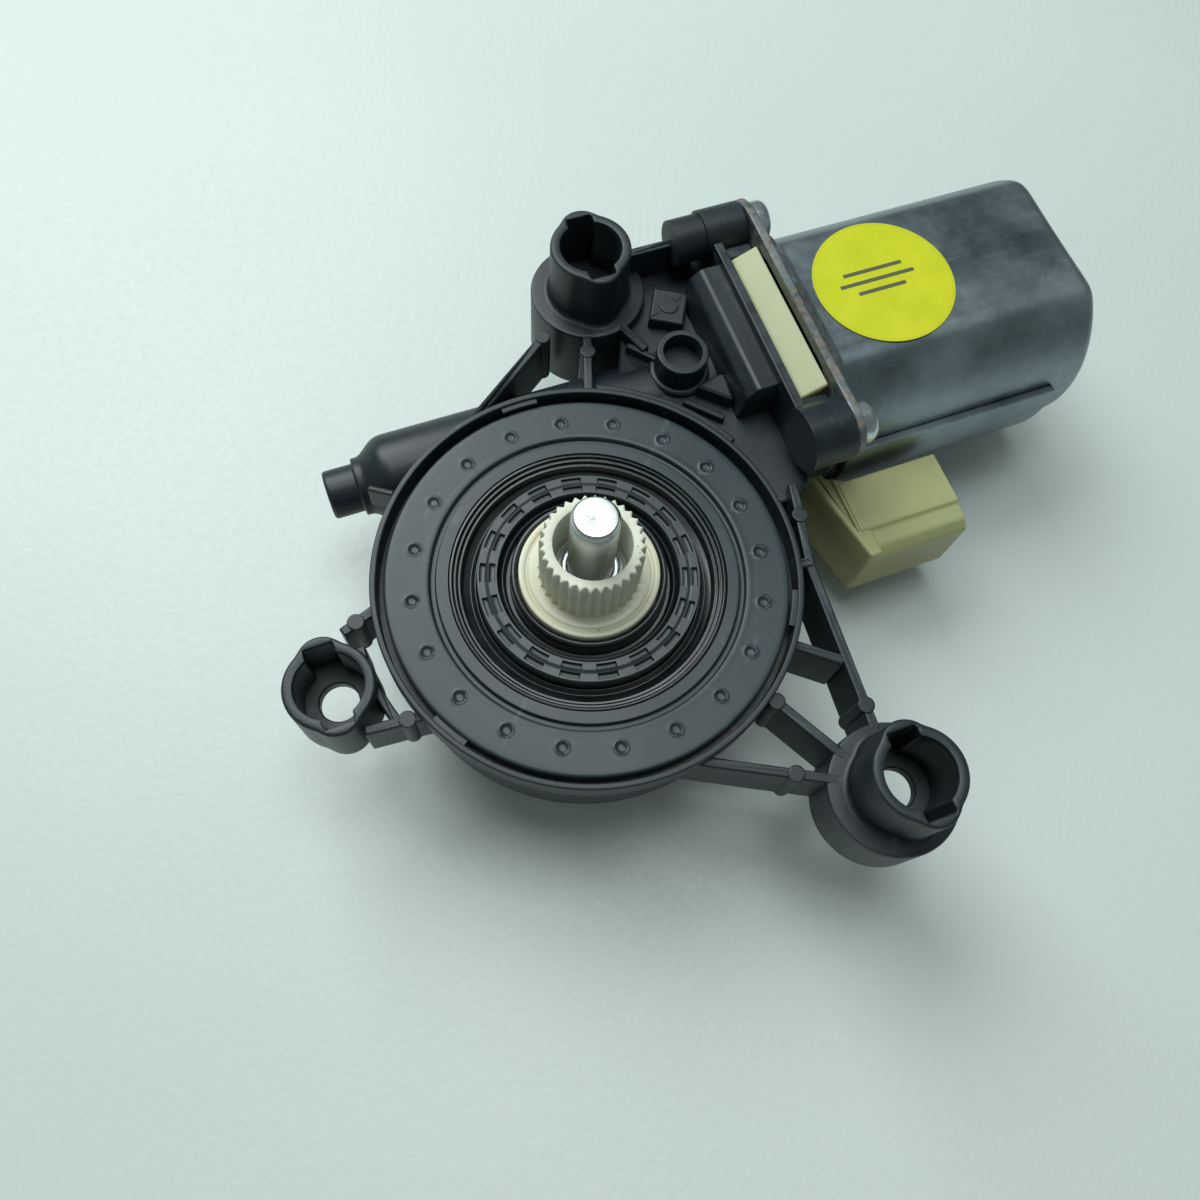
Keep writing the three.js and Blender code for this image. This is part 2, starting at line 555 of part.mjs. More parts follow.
// Worm and shaft are one piece, ground from one bar.
function makeWormShaft() {
  const turns = 8;
  const start = (-turns * gear.lead) / 2;
  const thread = wormThread(start, turns, 10, 8);
  const low = tube.tipStart + gap.seat + thrust.tubePad + thrust.play;
  const high = thrust.canPadLow - thrust.play;
  const step = can.end - can.wall - 1;
  const bar = turned([
    [0, low], [shaft.tipRadius - 0.4, low], [shaft.tipRadius, low + 0.5],
    [shaft.tipRadius, start - 3], [shaft.radius, start - 2.4], [shaft.radius, step],
    [shaft.tipRadius, step + 0.4], [shaft.tipRadius, high], [0, high],
  ], 24);
  return joined(thread, bar);
}

// Laminated core: a hub with teeth whose feet widen to the outside, leaving slots for the wire.
function makeCore() {
  const body = disc(core.radius, core.start, core.end, 30);
  const slot = joined(
    block(core.hubR, core.radius + 1, -core.mouth / 2, core.mouth / 2, core.start - 1, core.end + 1),
    prism([[core.hubR, -1.7], [core.slotTop, -3.1], [core.slotTop, 3.1], [core.hubR, 1.7]],
      core.start - 1, core.end + 1),
  );
  const bore = disc(shaft.radius + gap.seat, core.start - 1, core.end + 1, 24);
  return body.subtract(joined(around(slot, core.slots), bore));
}

// Copper wire, drawn as the two end bundles and the bars that pass through the core's slots.
function makeWinding() {
  const bundle = (start) => turned([
    [coil.inner + 0.8, start], [coil.outer - 1.4, start], [coil.outer, start + 1.6],
    [coil.outer, start + coil.overhang - 1],
    [coil.outer - 1.4, start + coil.overhang], [coil.inner, start + coil.overhang], [coil.inner, start + 0.8],
    [coil.inner + 0.8, start],
  ], 20);
  const first = core.start - gap.free - coil.overhang;
  const last = core.end + gap.free;
  const bar = block(coil.barIn, coil.barOut, -coil.barWide / 2, coil.barWide / 2, first + 1, last + 1);
  return joined(bundle(first), bundle(last), around(bar, core.slots));
}

function makeCommutator() {
  const body = ring(shaft.radius + gap.seat, commutator.radius, commutator.start, commutator.end, 30);
  const cut = block(commutator.radius - 0.6, commutator.radius + 1, -0.2, 0.2,
    commutator.start - 1, commutator.end + 1);
  return body.subtract(joined(around(spun(cut, 4.5), core.slots)));
}

// Section of the can about the shaft line, with its two flats, grown by a margin.
function canSection(margin) {
  const radius = can.radius + margin;
  const flat = can.flat + margin;
  const corner = THREE.MathUtils.radToDeg(Math.asin(flat / radius));
  return [...arcPoints(radius, -corner, corner, 10), ...arcPoints(radius, 180 - corner, 180 + corner, 10)];
}

function lugOutline() {
  const lobes = [-1, 1].map((side, i) => {
    const round = disc(flange.lugR[i], can.start - flange.thick, can.start, 20);
    return round.translate([side * flange.lugSide, flange.lugUp, 0]);
  });
  const bridge = block(-flange.lugSide, flange.lugSide, 0, flange.up, can.start - flange.thick, can.start);
  return joined(lobes, bridge);
}

function makeCan() {
  const dome = turned([
    [0, can.end - 1], [can.domeR, can.end - 1], [can.domeR, can.domeEnd - 1.2], [can.domeR - 1.2, can.domeEnd],
    [0, can.domeEnd],
  ], 28);
  const shell = prism(canSection(0), can.start - 0.5, can.end);
  const plate = disc(flange.radius, can.start - flange.thick, can.start, 36)
    .intersect(block(-40, 40, -flange.down, flange.up, 0, 200));
  const inside = prism(canSection(-can.wall), can.start - 10, can.end - can.wall);
  const domeRoom = disc(can.domeR - can.wall, can.end - 5, can.domeEnd - can.wall, 28);
  const screwHoles = [-1, 1].map((side) =>
    disc(flange.screwHole, 0, 200, 16).translate([side * flange.lugSide, flange.lugUp, 0]));
  return joined(shell, plate, lugOutline(), dome).subtract(joined(inside, domeRoom, screwHoles));
}

function makeFluxRing() {
  const outside = prism(canSection(gap.seat + fluxRing.thick), fluxRing.start, fluxRing.end);
  const inside = prism(canSection(gap.seat), fluxRing.start - 1, fluxRing.end + 1);
  const open = block(-40, 40, fluxRing.edgeUp, 60, fluxRing.start - 1, fluxRing.end + 1);
  return outside.subtract(joined(inside, open));
}

function makeMagnet() {
  return sector(magnet.inner, magnet.outer, -magnet.halfDeg, magnet.halfDeg, magnet.start, magnet.end, 12)
    .intersect(block(0, 40, gap.free - can.flat + can.wall, can.flat - can.wall - gap.free, 0, 200));
}

// Box that guides one brush, closed behind its spring. Its root joins the card's plate inside the frame.
function makeBrushHolder(side) {
  const room = brush.holderWall + gap.free;
  const [halfX, halfZ] = [brush.wide / 2, brush.high / 2];
  const inner = commutator.radius + brush.holderInner;
  const rootEnd = commutator.radius + brush.long;
  const holeEnd = brushReach().springEnd + gap.seat;
  const across = (from, to) => [Math.min(side * from, side * to), Math.max(side * from, side * to)];
  const root = block(frame.right - gap.free - 1, brush.middle + halfX + room, ...across(inner, rootEnd),
    -halfZ - room, halfZ + room);
  const back = block(frame.right + gap.free, brush.middle + halfX + room,
    ...across(rootEnd - 1, holeEnd + brush.holderWall), -halfZ - room, halfZ + room);
  const hole = block(brush.middle - halfX - gap.free, brush.middle + halfX + gap.free,
    ...across(inner - 1, holeEnd), -halfZ - gap.free, halfZ + gap.free);
  return joined(root, back).subtract(hole);
}

// Natural-plastic card: plate in the frame, brush holders in the can's mouth, arm and connector socket.
function makeBrushCard() {
  const near = frame.near + frame.side + gap.free;
  const far = frame.far - frame.side - gap.free;
  const right = frame.right - gap.free;
  const plate = block(card.thickLeft, right, near, far, card.low, card.top);
  const arm = prism([
    [card.armLeft, near + 1], [card.armLeft, 9.5], [socket.start - 0.2, socket.near], [card.armRight, socket.near],
    [card.armRight, socket.far], [right, 9], [right, near + 1],
  ], socket.low, socket.top - gap.free);
  const mouth = block(socket.start, socket.end, socket.near, socket.far, socket.low, socket.top);
  const edge = prism([[socket.near - 1, socket.top - 2.2], [socket.near + 2.2, socket.top + 1],
    [socket.near - 1, socket.top + 1]],
    socket.start - 6, socket.end + 1).transform([0, 1, 0, 0, 0, 0, 1, 0, 1, 0, 0, 0, 0, 0, 0, 1]);
  const cavity = block(socket.floor, socket.end + 1, socket.near + socket.wall, socket.far - socket.wall,
    socket.low + socket.wall, socket.top - socket.wall);
  const shaftHole = onShaft(disc(card.bore, 40, 60, 28));
  const holders = [-1, 1].map((side) => makeBrushHolder(side).translate([0, shaft.y, shaft.z]));
  const bladeSlots = bladeSpots().map(([y, z]) =>
    block(blade.start - gap.free, socket.floor + 1, y - blade.wide / 2 - gap.free, y + blade.wide / 2 + gap.free,
      z - blade.thick / 2 - gap.free, z + blade.thick / 2 + gap.free));
  return joined(plate, arm, mouth, holders).subtract(joined(edge, cavity, shaftHole, bladeSlots));
}

// How far from the shaft line a brush's face, its back and its spring's end lie.
function brushReach() {
  const face = commutator.radius + gap.run - brush.hollow;
  const back = face + brush.long + gap.seat;
  return { face, back, springEnd: back + spring.long };
}

function bladeSpots() {
  const middle = (socket.near + socket.far) / 2;
  const height = (socket.low + socket.top) / 2;
  return [-1, 1].map((side) => [middle + (side * blade.pitch) / 2, height]);
}

function makeBlade() {
  return block(blade.start, blade.end, -blade.wide / 2, blade.wide / 2, -blade.thick / 2, blade.thick / 2);
}

function makeBrush() {
  const half = brush.wide / 2;
  return block(-half, half, 0, brush.long, -brush.high / 2, brush.high / 2)
    .subtract(onCommutator());
}

// The commutator's surface, which hollows the brush's face.
function onCommutator() {
  const radius = commutator.radius + gap.run;
  const drumShape = disc(radius, -20, 20, 40).transform([0, 1, 0, 0, 0, 0, 1, 0, 1, 0, 0, 0, 0, 0, 0, 1]);
  return drumShape.translate([0, -brushReach().face, 0]);
}

// A square wire carried along a helix.
function coilAlong({ long, radius, wire, turns }) {
  class Helix extends THREE.Curve {
    getPoint(t, target = new THREE.Vector3()) {
      const angle = 2 * Math.PI * turns * t;
      return target.set(radius * Math.cos(angle), radius * Math.sin(angle), wire + (long - 2 * wire) * t);
    }
  }
  const shape = outline([[-wire, -wire], [wire, -wire], [wire, wire], [-wire, wire]]);
  return solidFrom(new THREE.ExtrudeGeometry(shape, { steps: turns * 9, extrudePath: new Helix(), bevelEnabled: false }));
}

function makeScrew() {
  const low = frame.right - screw.reach + 0.4;
  const head = can.start + gap.seat;
  return turned([
    [0, low], [screw.shank, low], [screw.shank, head], [screw.headR, head], [screw.headR, head + screw.headHigh - 1],
    [screw.headR - 1.1, head + screw.headHigh], [screw.socketR, head + screw.headHigh],
    [screw.socketR, head + screw.headHigh - screw.socketDeep], [0, head + screw.headHigh - screw.socketDeep],
  ], 16);
}

const paint = {
  housing: { color: 0x23282c, roughness: 0.62, metalness: 0 },
  cover: { color: 0x2a3034, roughness: 0.5, metalness: 0 },
  rubber: { color: 0x101214, roughness: 0.35, metalness: 0 },
  wheel: { color: 0x2e3438, roughness: 0.5, metalness: 0 },
  hub: { color: 0xd6d6bd, roughness: 0.45, metalness: 0 },
  steel: { color: 0xb9bdc0, roughness: 0.28, metalness: 1 },
  canSteel: { color: 0x8e999f, roughness: 0.42, metalness: 1 },
  zinc: { color: 0xb4c0c6, roughness: 0.35, metalness: 1 },
  natural: { color: 0xd8d5a0, roughness: 0.5, metalness: 0 },
  bronze: { color: 0x9a7440, roughness: 0.55, metalness: 1 },
  copper: { color: 0xb5652f, roughness: 0.4, metalness: 1 },
  core: { color: 0x5d6062, roughness: 0.6, metalness: 1 },
  magnet: { color: 0x34363a, roughness: 0.75, metalness: 0 },
  carbon: { color: 0x26221f, roughness: 0.8, metalness: 0 },
  label: { color: 0xe3e021, roughness: 0.4, metalness: 0 },
};
const material = Object.fromEntries(
  Object.entries(paint).map(([name, look]) => [name, new THREE.MeshStandardMaterial({ ...look, name })]));

function piece(name, solid, look) {
  const mesh = new THREE.Mesh(geometryOf(solid), material[look]);
  mesh.name = name;
  return mesh;
}

const gearbox = new THREE.Group();
gearbox.name = "gearbox";
gearbox.add(
  piece("gear_housing", makeHousing(), "housing"),
  piece("gear_cover", makeCover(), "cover"),
  piece("cover_seal", makeCoverSeal(), "rubber"),
  piece("worm_wheel", makeWormWheel(), "wheel"),
  piece("damper", makeDamper(), "rubber"),
  piece("hub_seal", makeHubSeal(), "rubber"),
  piece("drive_hub", makeDriveHub(), "hub"),
  piece("output_pin", makePin(), "steel"),
  piece("pin_clip", makeClip(), "zinc"),
);

const motor = new THREE.Group();
motor.name = "motor";
motor.applyMatrix4(alongShaft);
const farMagnet = piece("magnet_far", makeMagnet(), "magnet");
const nearMagnet = piece("magnet_near", makeMagnet(), "magnet");
nearMagnet.rotation.z = Math.PI;
const bushOuter = tube.bore - gap.seat;
const tubePadLow = tube.tipStart + gap.seat;
const makeBush = (turningR, outer, from, to) => ring(turningR + gap.run, outer, from, to, 24);
const domeInner = can.domeR - can.wall - gap.seat;
motor.add(
  piece("worm_shaft", makeWormShaft(), "steel"),
  piece("armature_core", makeCore(), "core"),
  piece("winding", makeWinding(), "copper"),
  piece("commutator", makeCommutator(), "copper"),
  piece("sensor_magnet", ring(shaft.radius + gap.seat, sensor.radius, sensor.start, sensor.end, 28), "magnet"),
  piece("motor_can", makeCan(), "canSteel"),
  piece("flux_ring", makeFluxRing(), "canSteel"),
  farMagnet,
  nearMagnet,
  piece("tube_bush", makeBush(shaft.tipRadius, bushOuter, tube.boreStart + gap.free, bearing.tubeEnd), "bronze"),
  piece("middle_bush", makeBush(shaft.radius, bushOuter, bearing.middleStart, bearing.middleEnd), "bronze"),
  piece("can_bush", makeBush(shaft.tipRadius, domeInner, can.end - can.wall, thrust.canPadLow - gap.seat), "bronze"),
  piece("tube_thrust_pad", disc(tube.tipBore - gap.seat, tubePadLow, tubePadLow + thrust.tubePad, 20), "natural"),
  piece("can_thrust_pad", disc(thrust.canPadR, thrust.canPadLow, thrust.canPadLow + thrust.canPad, 20), "natural"),
);
[["near", -1], ["far", 1]].forEach(([name, side]) => {
  const fixing = piece("flange_screw_" + name, makeScrew(), "zinc");
  fixing.position.set(side * flange.lugSide, flange.lugUp, 0);
  motor.add(fixing);
});

const electrics = new THREE.Group();
electrics.name = "electrics";
electrics.add(piece("brush_card", makeBrushCard(), "natural"));
[["near", -1], ["far", 1]].forEach(([name, side]) => {
  const carbon = piece("brush_" + name, makeBrush(), "carbon");
  carbon.position.set(brush.middle, shaft.y + side * brushReach().face, shaft.z);
  carbon.rotation.z = side < 0 ? Math.PI : 0;
  const coiled = piece("brush_spring_" + name, coilAlong(spring), "steel");
  coiled.position.set(brush.middle, shaft.y + side * brushReach().back, shaft.z);
  coiled.rotation.x = side < 0 ? Math.PI / 2 : -Math.PI / 2;
  const filter = piece("choke_" + name, disc(choke.radius, 0, choke.long, 20), "magnet");
  filter.rotation.y = Math.PI / 2;
  filter.position.set(frame.right + gap.free, shaft.y + side * choke.side, shaft.z - choke.drop);
  electrics.add(carbon, coiled, filter);
});
bladeSpots().forEach(([y, z], i) => {
  const contact = piece("terminal_" + (i + 1), makeBlade(), "zinc");
  contact.position.set(0, y, z);
  electrics.add(contact);
});
const sticker = piece("label", disc(labelDisc.radius, 0, labelDisc.thick, 36), "label");
sticker.position.set(labelDisc.x, shaft.y, shaft.z + can.flat + labelDisc.above);

const group = new THREE.Group();
group.name = "window_lift_gear_motor";
group.add(gearbox, motor, electrics, sticker);
export default group;
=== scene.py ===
import json
import math
import bmesh
import bpy
import numpy as np
from mathutils import Matrix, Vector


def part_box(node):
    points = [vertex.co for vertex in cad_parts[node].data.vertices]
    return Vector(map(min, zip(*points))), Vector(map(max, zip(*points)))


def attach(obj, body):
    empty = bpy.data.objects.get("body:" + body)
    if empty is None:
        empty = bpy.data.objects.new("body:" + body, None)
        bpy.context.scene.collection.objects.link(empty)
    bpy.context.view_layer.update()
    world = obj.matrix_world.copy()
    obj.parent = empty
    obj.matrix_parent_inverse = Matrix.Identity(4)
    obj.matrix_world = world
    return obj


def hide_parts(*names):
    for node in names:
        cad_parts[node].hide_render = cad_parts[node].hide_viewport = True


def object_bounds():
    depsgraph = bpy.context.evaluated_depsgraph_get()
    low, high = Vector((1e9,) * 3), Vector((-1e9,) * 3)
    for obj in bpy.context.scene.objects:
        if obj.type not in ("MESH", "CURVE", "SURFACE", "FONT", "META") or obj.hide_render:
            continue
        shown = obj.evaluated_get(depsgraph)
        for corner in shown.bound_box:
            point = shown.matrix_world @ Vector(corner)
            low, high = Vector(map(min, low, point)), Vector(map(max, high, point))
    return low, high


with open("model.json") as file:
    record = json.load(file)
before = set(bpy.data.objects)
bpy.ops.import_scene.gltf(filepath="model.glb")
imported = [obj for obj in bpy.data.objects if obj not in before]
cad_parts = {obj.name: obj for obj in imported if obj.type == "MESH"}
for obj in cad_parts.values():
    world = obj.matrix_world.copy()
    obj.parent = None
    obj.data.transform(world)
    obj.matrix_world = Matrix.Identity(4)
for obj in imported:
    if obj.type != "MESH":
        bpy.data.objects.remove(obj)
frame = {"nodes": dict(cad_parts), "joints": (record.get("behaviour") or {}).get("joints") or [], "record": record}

cadLow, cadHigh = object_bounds()
mm = 0.001
nodes = frame["nodes"]
allRounds = 2 * math.pi


# Places and sizes that the frame gives, in millimetres

def boxOf(node):
    low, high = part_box(node)
    return np.array(low) / mm, np.array(high) / mm


mounts = {m["name"]: np.array(m["pos_m"]) / mm for m in frame["record"]["mounts"]}
joints = {j["name"]: j for j in frame["joints"]}
shaftY, shaftZ = np.array(joints["armature_spin"]["pos_m"][1:]) / mm
coverTop = boxOf("gear_cover")[1][2]
coverLow = boxOf("gear_cover")[0][2]
coverOuter = boxOf("gear_cover")[1][0]
pinRadius = boxOf("output_pin")[1][0]
pinLow = boxOf("output_pin")[0][2]
pinTop = boxOf("output_pin")[1][2]
hubTop = boxOf("drive_hub")[1][2]
flangeTop = mounts["drum_seat"][2]
drumTop = boxOf("worm_wheel")[1][2]
rimTop = coverTop + 1.3
canStart = boxOf("motor_can")[0][0] + 1.7
canEnd = boxOf("motor_can")[1][0]
bossSideways = 6.8  # a boss's mount lies this far from its centre


# Mesh making: every shape is a grid of points, rows by columns

def gridSolid(points, wrapRows=False):
    # Quads between neighbouring rows of closed loops; the first and last rows are filled unless rows wrap.
    rows, columns = points.shape[:2]
    row = np.arange(rows if wrapRows else rows - 1)[:, None]
    column = np.arange(columns)[None, :]
    nextRow, nextColumn = (row + 1) % rows, (column + 1) % columns
    corners = [row * columns + column, row * columns + nextColumn, nextRow * columns + nextColumn,
               nextRow * columns + column]
    quads = np.stack(corners, -1).reshape(-1, 4)
    caps = [] if wrapRows else [list(range(columns)), list(range((rows - 1) * columns, rows * columns))]
    return points.reshape(-1, 3), quads.tolist() + caps


def alongX(points):
    # Local (side, up, along) becomes world (along, side, up), on the motor's shaft line.
    return points[..., [2, 0, 1]] + np.array([0, shaftY, shaftZ])


def turns(count):
    # Even angles round a full turn, the last one short of the first.
    return np.linspace(0, allRounds, count, endpoint=False)


def rounded(corners, radius, steps=4):
    # Each corner of a path becomes a quadratic curve that starts and ends its radius away from the corner.
    corners = np.array(corners, float)
    before, after = np.roll(corners, 1, 0), np.roll(corners, -1, 0)
    reach = np.broadcast_to(np.array(radius, float), len(corners))

    def towards(other):
        step = other - corners
        length = np.linalg.norm(step, axis=1, keepdims=True)
        return corners + step / length * np.minimum(reach[:, None], 0.45 * length)

    start, end = towards(before), towards(after)
    share = np.linspace(0, 1, steps + 1)[None, :, None]
    curve = ((1 - share) ** 2 * start[:, None] + 2 * share * (1 - share) * corners[:, None]
             + share ** 2 * end[:, None])
    return curve.reshape(-1, corners.shape[1])


def spun(path, segments):
    # Radius and height pairs turned about Z: x and y are the radius times the angle's cosine and sine.
    angle = turns(segments)
    return np.stack([path[:, :1] * np.cos(angle), path[:, :1] * np.sin(angle),
                     np.broadcast_to(path[:, 1:], (len(path), segments))], -1)


def lathe(profile, radius, segments):
    # A closed section, rounded at its corners and turned about Z into a ring.
    return gridSolid(spun(rounded(profile, radius), segments), wrapRows=True)


def latheSolid(profile, radius=0.25, segments=96, steps=4):
    # A turned solid whose profile starts and ends beside the axis, closed there by small flat faces.
    path = rounded([[0.02, profile[0][1]]] + profile + [[0.02, profile[-1][1]]], radius, steps)
    return spun(path[steps // 2: len(path) - steps // 2], segments)


def polarRows(radii, heights, count):
    # Rows of one loop each: radius as a number or a function of angle, and one height a row.
    angle = turns(count)
    radius = np.stack([np.broadcast_to(r, count) for r in radii])
    height = np.broadcast_to(np.array(heights, float)[:, None], radius.shape)
    return np.stack([radius * np.cos(angle), radius * np.sin(angle), height], -1)


def pairRows(rows, count):
    # The same from a list of pairs, each a radius and a height.
    return polarRows([r for r, z in rows], [z for r, z in rows], count)


def polarFace(radius, angle, height):
    # One height for each radius and angle: x and y are the radius times the angle's cosine and sine.
    ring = np.broadcast_to(radius[:, None], height.shape)
    return np.stack([ring * np.cos(angle), ring * np.sin(angle), height], -1)


def outwardOf(loop):
    # Unit normals of an anticlockwise loop, from its central differences.
    step = np.roll(loop, -1, 0) - np.roll(loop, 1, 0)
    normal = np.stack([step[:, 1], -step[:, 0]], 1)
    return normal / np.maximum(np.linalg.norm(normal, axis=1, keepdims=True), 1e-9)


def anticlockwise(loop):
    # Twice the area is the sum of x times the next y less the next x times y; a negative one is turned round.
    loop = np.array(loop, float)
    nextPoint = np.roll(loop, -1, 0)
    area = np.sum(loop[:, 0] * nextPoint[:, 1] - nextPoint[:, 0] * loop[:, 1])
    return loop if area > 0 else loop[::-1]


def slab(outline, low, high, edge=0.35, foot=0.12, corner=0.5, steps=4):
    # An outline carried upwards: a small rounded foot, a straight wall, and a rounded top edge.
    loop = rounded(anticlockwise(outline), corner)
    turn = np.linspace(0, math.pi / 2, steps)
    offsets = np.concatenate([-foot * (1 - np.sin(turn)), -edge * (1 - np.cos(turn))])
    heights = np.concatenate([low + foot * (1 - np.cos(turn)), high - edge * (1 - np.sin(turn))])
    flat = loop[None] + outwardOf(loop)[None] * offsets[:, None, None]
    points = np.concatenate([flat, np.broadcast_to(heights[:, None, None], flat.shape[:2] + (1,))], -1)
    return points


def box(xs, ys, zs, edge=0.35, corner=0.5):
    # A slab whose outline is the rectangle between two pairs of places.
    outline = [[xs[0], ys[0]], [xs[1], ys[0]], [xs[1], ys[1]], [xs[0], ys[1]]]
    return slab(outline, zs[0], zs[1], edge, min(edge, 0.3), corner)


def wall(start, end, thick, low, high, edge=0.35):
    # A straight rib in plan between two points.
    start, end = np.array(start, float), np.array(end, float)
    along = (end - start) / np.linalg.norm(end - start)
    side = np.array([-along[1], along[0]]) * thick / 2
    return slab([start - side, end - side, end + side, start + side], low, high, edge, 0.1, 0.3)


def disc(x, y, radius, low, high, edge=0.3, count=48):
    # A slab whose outline is a circle: the centre plus the radius times the angle's cosine and sine.
    angle = turns(count)
    loop = np.stack([x + radius * np.cos(angle), y + radius * np.sin(angle)], 1)
    return slab(loop, low, high, edge, 0.1, 0.01, 4)[:, ::5]


def arcBar(inner, outer, fromDeg, toDeg, low, high, edge=0.3, steps=40):
    # Part of a flat ring between two angles, with rounded edges.
    angle = np.radians(np.linspace(fromDeg, toDeg, steps))
    out = np.stack([outer * np.cos(angle), outer * np.sin(angle)], 1)
    back = np.stack([inner * np.cos(angle[::-1]), inner * np.sin(angle[::-1])], 1)
    return slab(np.concatenate([out, back]), low, high, edge, 0.1, 0.2, 4)


def meshObject(name, points, wrapRows=False):
    vertices, faces = gridSolid(points, wrapRows)
    return objectOf(name, vertices, faces)


def objectOf(name, vertices, faces):
    # Millimetres become metres, points that meet are merged, wide caps become triangles, normals face out.
    mesh = bpy.data.meshes.new(name)
    mesh.from_pydata((np.asarray(vertices) * mm).tolist(), [], faces)
    work = bmesh.new()
    work.from_mesh(mesh)
    bmesh.ops.remove_doubles(work, verts=work.verts, dist=1e-7)
    bmesh.ops.triangulate(work, faces=[f for f in work.faces if len(f.verts) > 4], ngon_method="EAR_CLIP")
    bmesh.ops.recalc_face_normals(work, faces=work.faces)
    work.to_mesh(mesh)
    work.free()
    made = bpy.data.objects.new(name, mesh)
    bpy.context.scene.collection.objects.link(made)
    return made


def carve(base, others, operation):
    # One Boolean modifier for each helper solid, applied together, after which the helpers are removed.
    for other in others:
        change = base.modifiers.new("carve", "BOOLEAN")
        change.operation = operation
        change.solver = "MANIFOLD"
        change.object = other
    bpy.context.view_layer.update()
    graph = bpy.context.evaluated_depsgraph_get()
    mesh = bpy.data.meshes.new_from_object(base.evaluated_get(graph))
    base.modifiers.clear()
    base.data = mesh
    for other in others:
        bpy.data.objects.remove(other)
    return base


def built(name, solids, cuts=()):
    # Joins a list of grids into one solid and cuts the second list away.
    helpers = [meshObject(name + "Part", *(s if isinstance(s, tuple) else (s,))) for s in solids]
    base = helpers[0]
    base.name = name
    if len(helpers) > 1:
        carve(base, helpers[1:], "UNION")
    cutters = [meshObject(name + "Cut", *(c if isinstance(c, tuple) else (c,))) for c in cuts]
    if cutters:
        carve(base, cutters, "DIFFERENCE")
    return base


def finish(piece, body, material, replaced, angle=35):
    # Smooth shading that stays flat on flat faces, the finish, and the body that the piece moves with.
    piece.data.materials.clear()
    piece.data.materials.append(material)
    count = len(piece.data.polygons)
    piece.data.polygons.foreach_set("use_smooth", np.ones(count, bool))
    piece.data.polygons.foreach_set("material_index", np.zeros(count, np.int32))
    piece.data.set_sharp_from_angle(angle=math.radians(angle))
    weighted = piece.modifiers.new("flatFaces", "WEIGHTED_NORMAL")
    weighted.keep_sharp = True
    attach(piece, body)
    if replaced:
        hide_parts(*replaced)
    return piece


# Material making

class Value:
    # A socket that adds its own Math nodes when it is used in a sum.
    def __init__(self, look, socket):
        self.look, self.socket = look, socket

    def maths(self, operation, other, swap=False):
        first, second = (other, self) if swap else (self, other)
        return self.look.node("ShaderNodeMath", {"operation": operation}, {0: first, 1: second})

    def __add__(self, other): return self.maths("ADD", other)
    def __radd__(self, other): return self.maths("ADD", other)
    def __sub__(self, other): return self.maths("SUBTRACT", other)
    def __rsub__(self, other): return self.maths("SUBTRACT", other, swap=True)
    def __mul__(self, other): return self.maths("MULTIPLY", other)
    def __rmul__(self, other): return self.maths("MULTIPLY", other)
    def __lt__(self, other): return self.maths("LESS_THAN", other)
    def power(self, other): return self.maths("POWER", other)

    def span(self, low, high, to=(0, 1)):
        return self.look.node("ShaderNodeMapRange", {"clamp": True},
                              {0: self, 1: low, 2: high, 3: to[0], 4: to[1]})


class Look:
    # One material: nodes come from node(), and done() sets the finished surface.
    def __init__(self, name):
        self.material = bpy.data.materials.new(name)
        self.material.use_nodes = True
        self.tree = self.material.node_tree
        self.shader = self.tree.nodes["Principled BSDF"]
        self.place = self.node("ShaderNodeTexCoord", {}, {}, "Object")

    def node(self, kind, settings, values, output=0):
        made = self.tree.nodes.new(kind)
        for key, value in settings.items():
            setattr(made, key, value)
        for key, value in values.items():
            self.feed(made.inputs[key], value)
        return Value(self, made.outputs[output])

    def feed(self, socket, value):
        if isinstance(value, Value):
            self.tree.links.new(value.socket, socket)
        elif hasattr(socket.default_value, "__len__") and hasattr(value, "__len__"):
            socket.default_value = (*value, 1)[:len(socket.default_value)]
        else:
            socket.default_value = value

    def noise(self, scale, detail=4, rough=0.6, stretch=None):
        where = self.place if stretch is None else self.node(
            "ShaderNodeMapping", {}, {"Vector": self.place, "Scale": stretch})
        return self.node("ShaderNodeTexNoise", {}, {"Vector": where, "Scale": scale, "Detail": detail,
                                                   "Roughness": rough}, 0)

    def specks(self, scale, size):
        cell = self.node("ShaderNodeTexVoronoi", {}, {"Vector": self.place, "Scale": scale}, "Distance")
        return cell < size

    def mix(self, share, first, second):
        return self.node("ShaderNodeMix", {"data_type": "RGBA"}, {0: share, 6: first, 7: second}, 2)

    def edges(self, low=0.52, high=0.6):
        # Share of a point's neighbourhood that falls away from it: high on outer edges.
        point = self.node("ShaderNodeNewGeometry", {}, {}, "Pointiness")
        return point.span(low, high)

    def parts(self):
        return [self.node("ShaderNodeSeparateXYZ", {}, {0: self.place}, i) for i in range(3)]

    def done(self, colour, roughness, height=None, depth=0.0001, strength=1.0, **fixed):
        feeds = {"Base Color": colour, "Roughness": roughness}
        for key, value in feeds.items():
            self.feed(self.shader.inputs[key], value)
        for key, value in fixed.items():
            self.feed(self.shader.inputs[key.replace("_", " ")], value)
        if height is not None:
            shape = {"Height": height, "Distance": depth, "Strength": strength}
            self.feed(self.shader.inputs["Normal"], self.node("ShaderNodeBump", {}, shape))
        return self.material


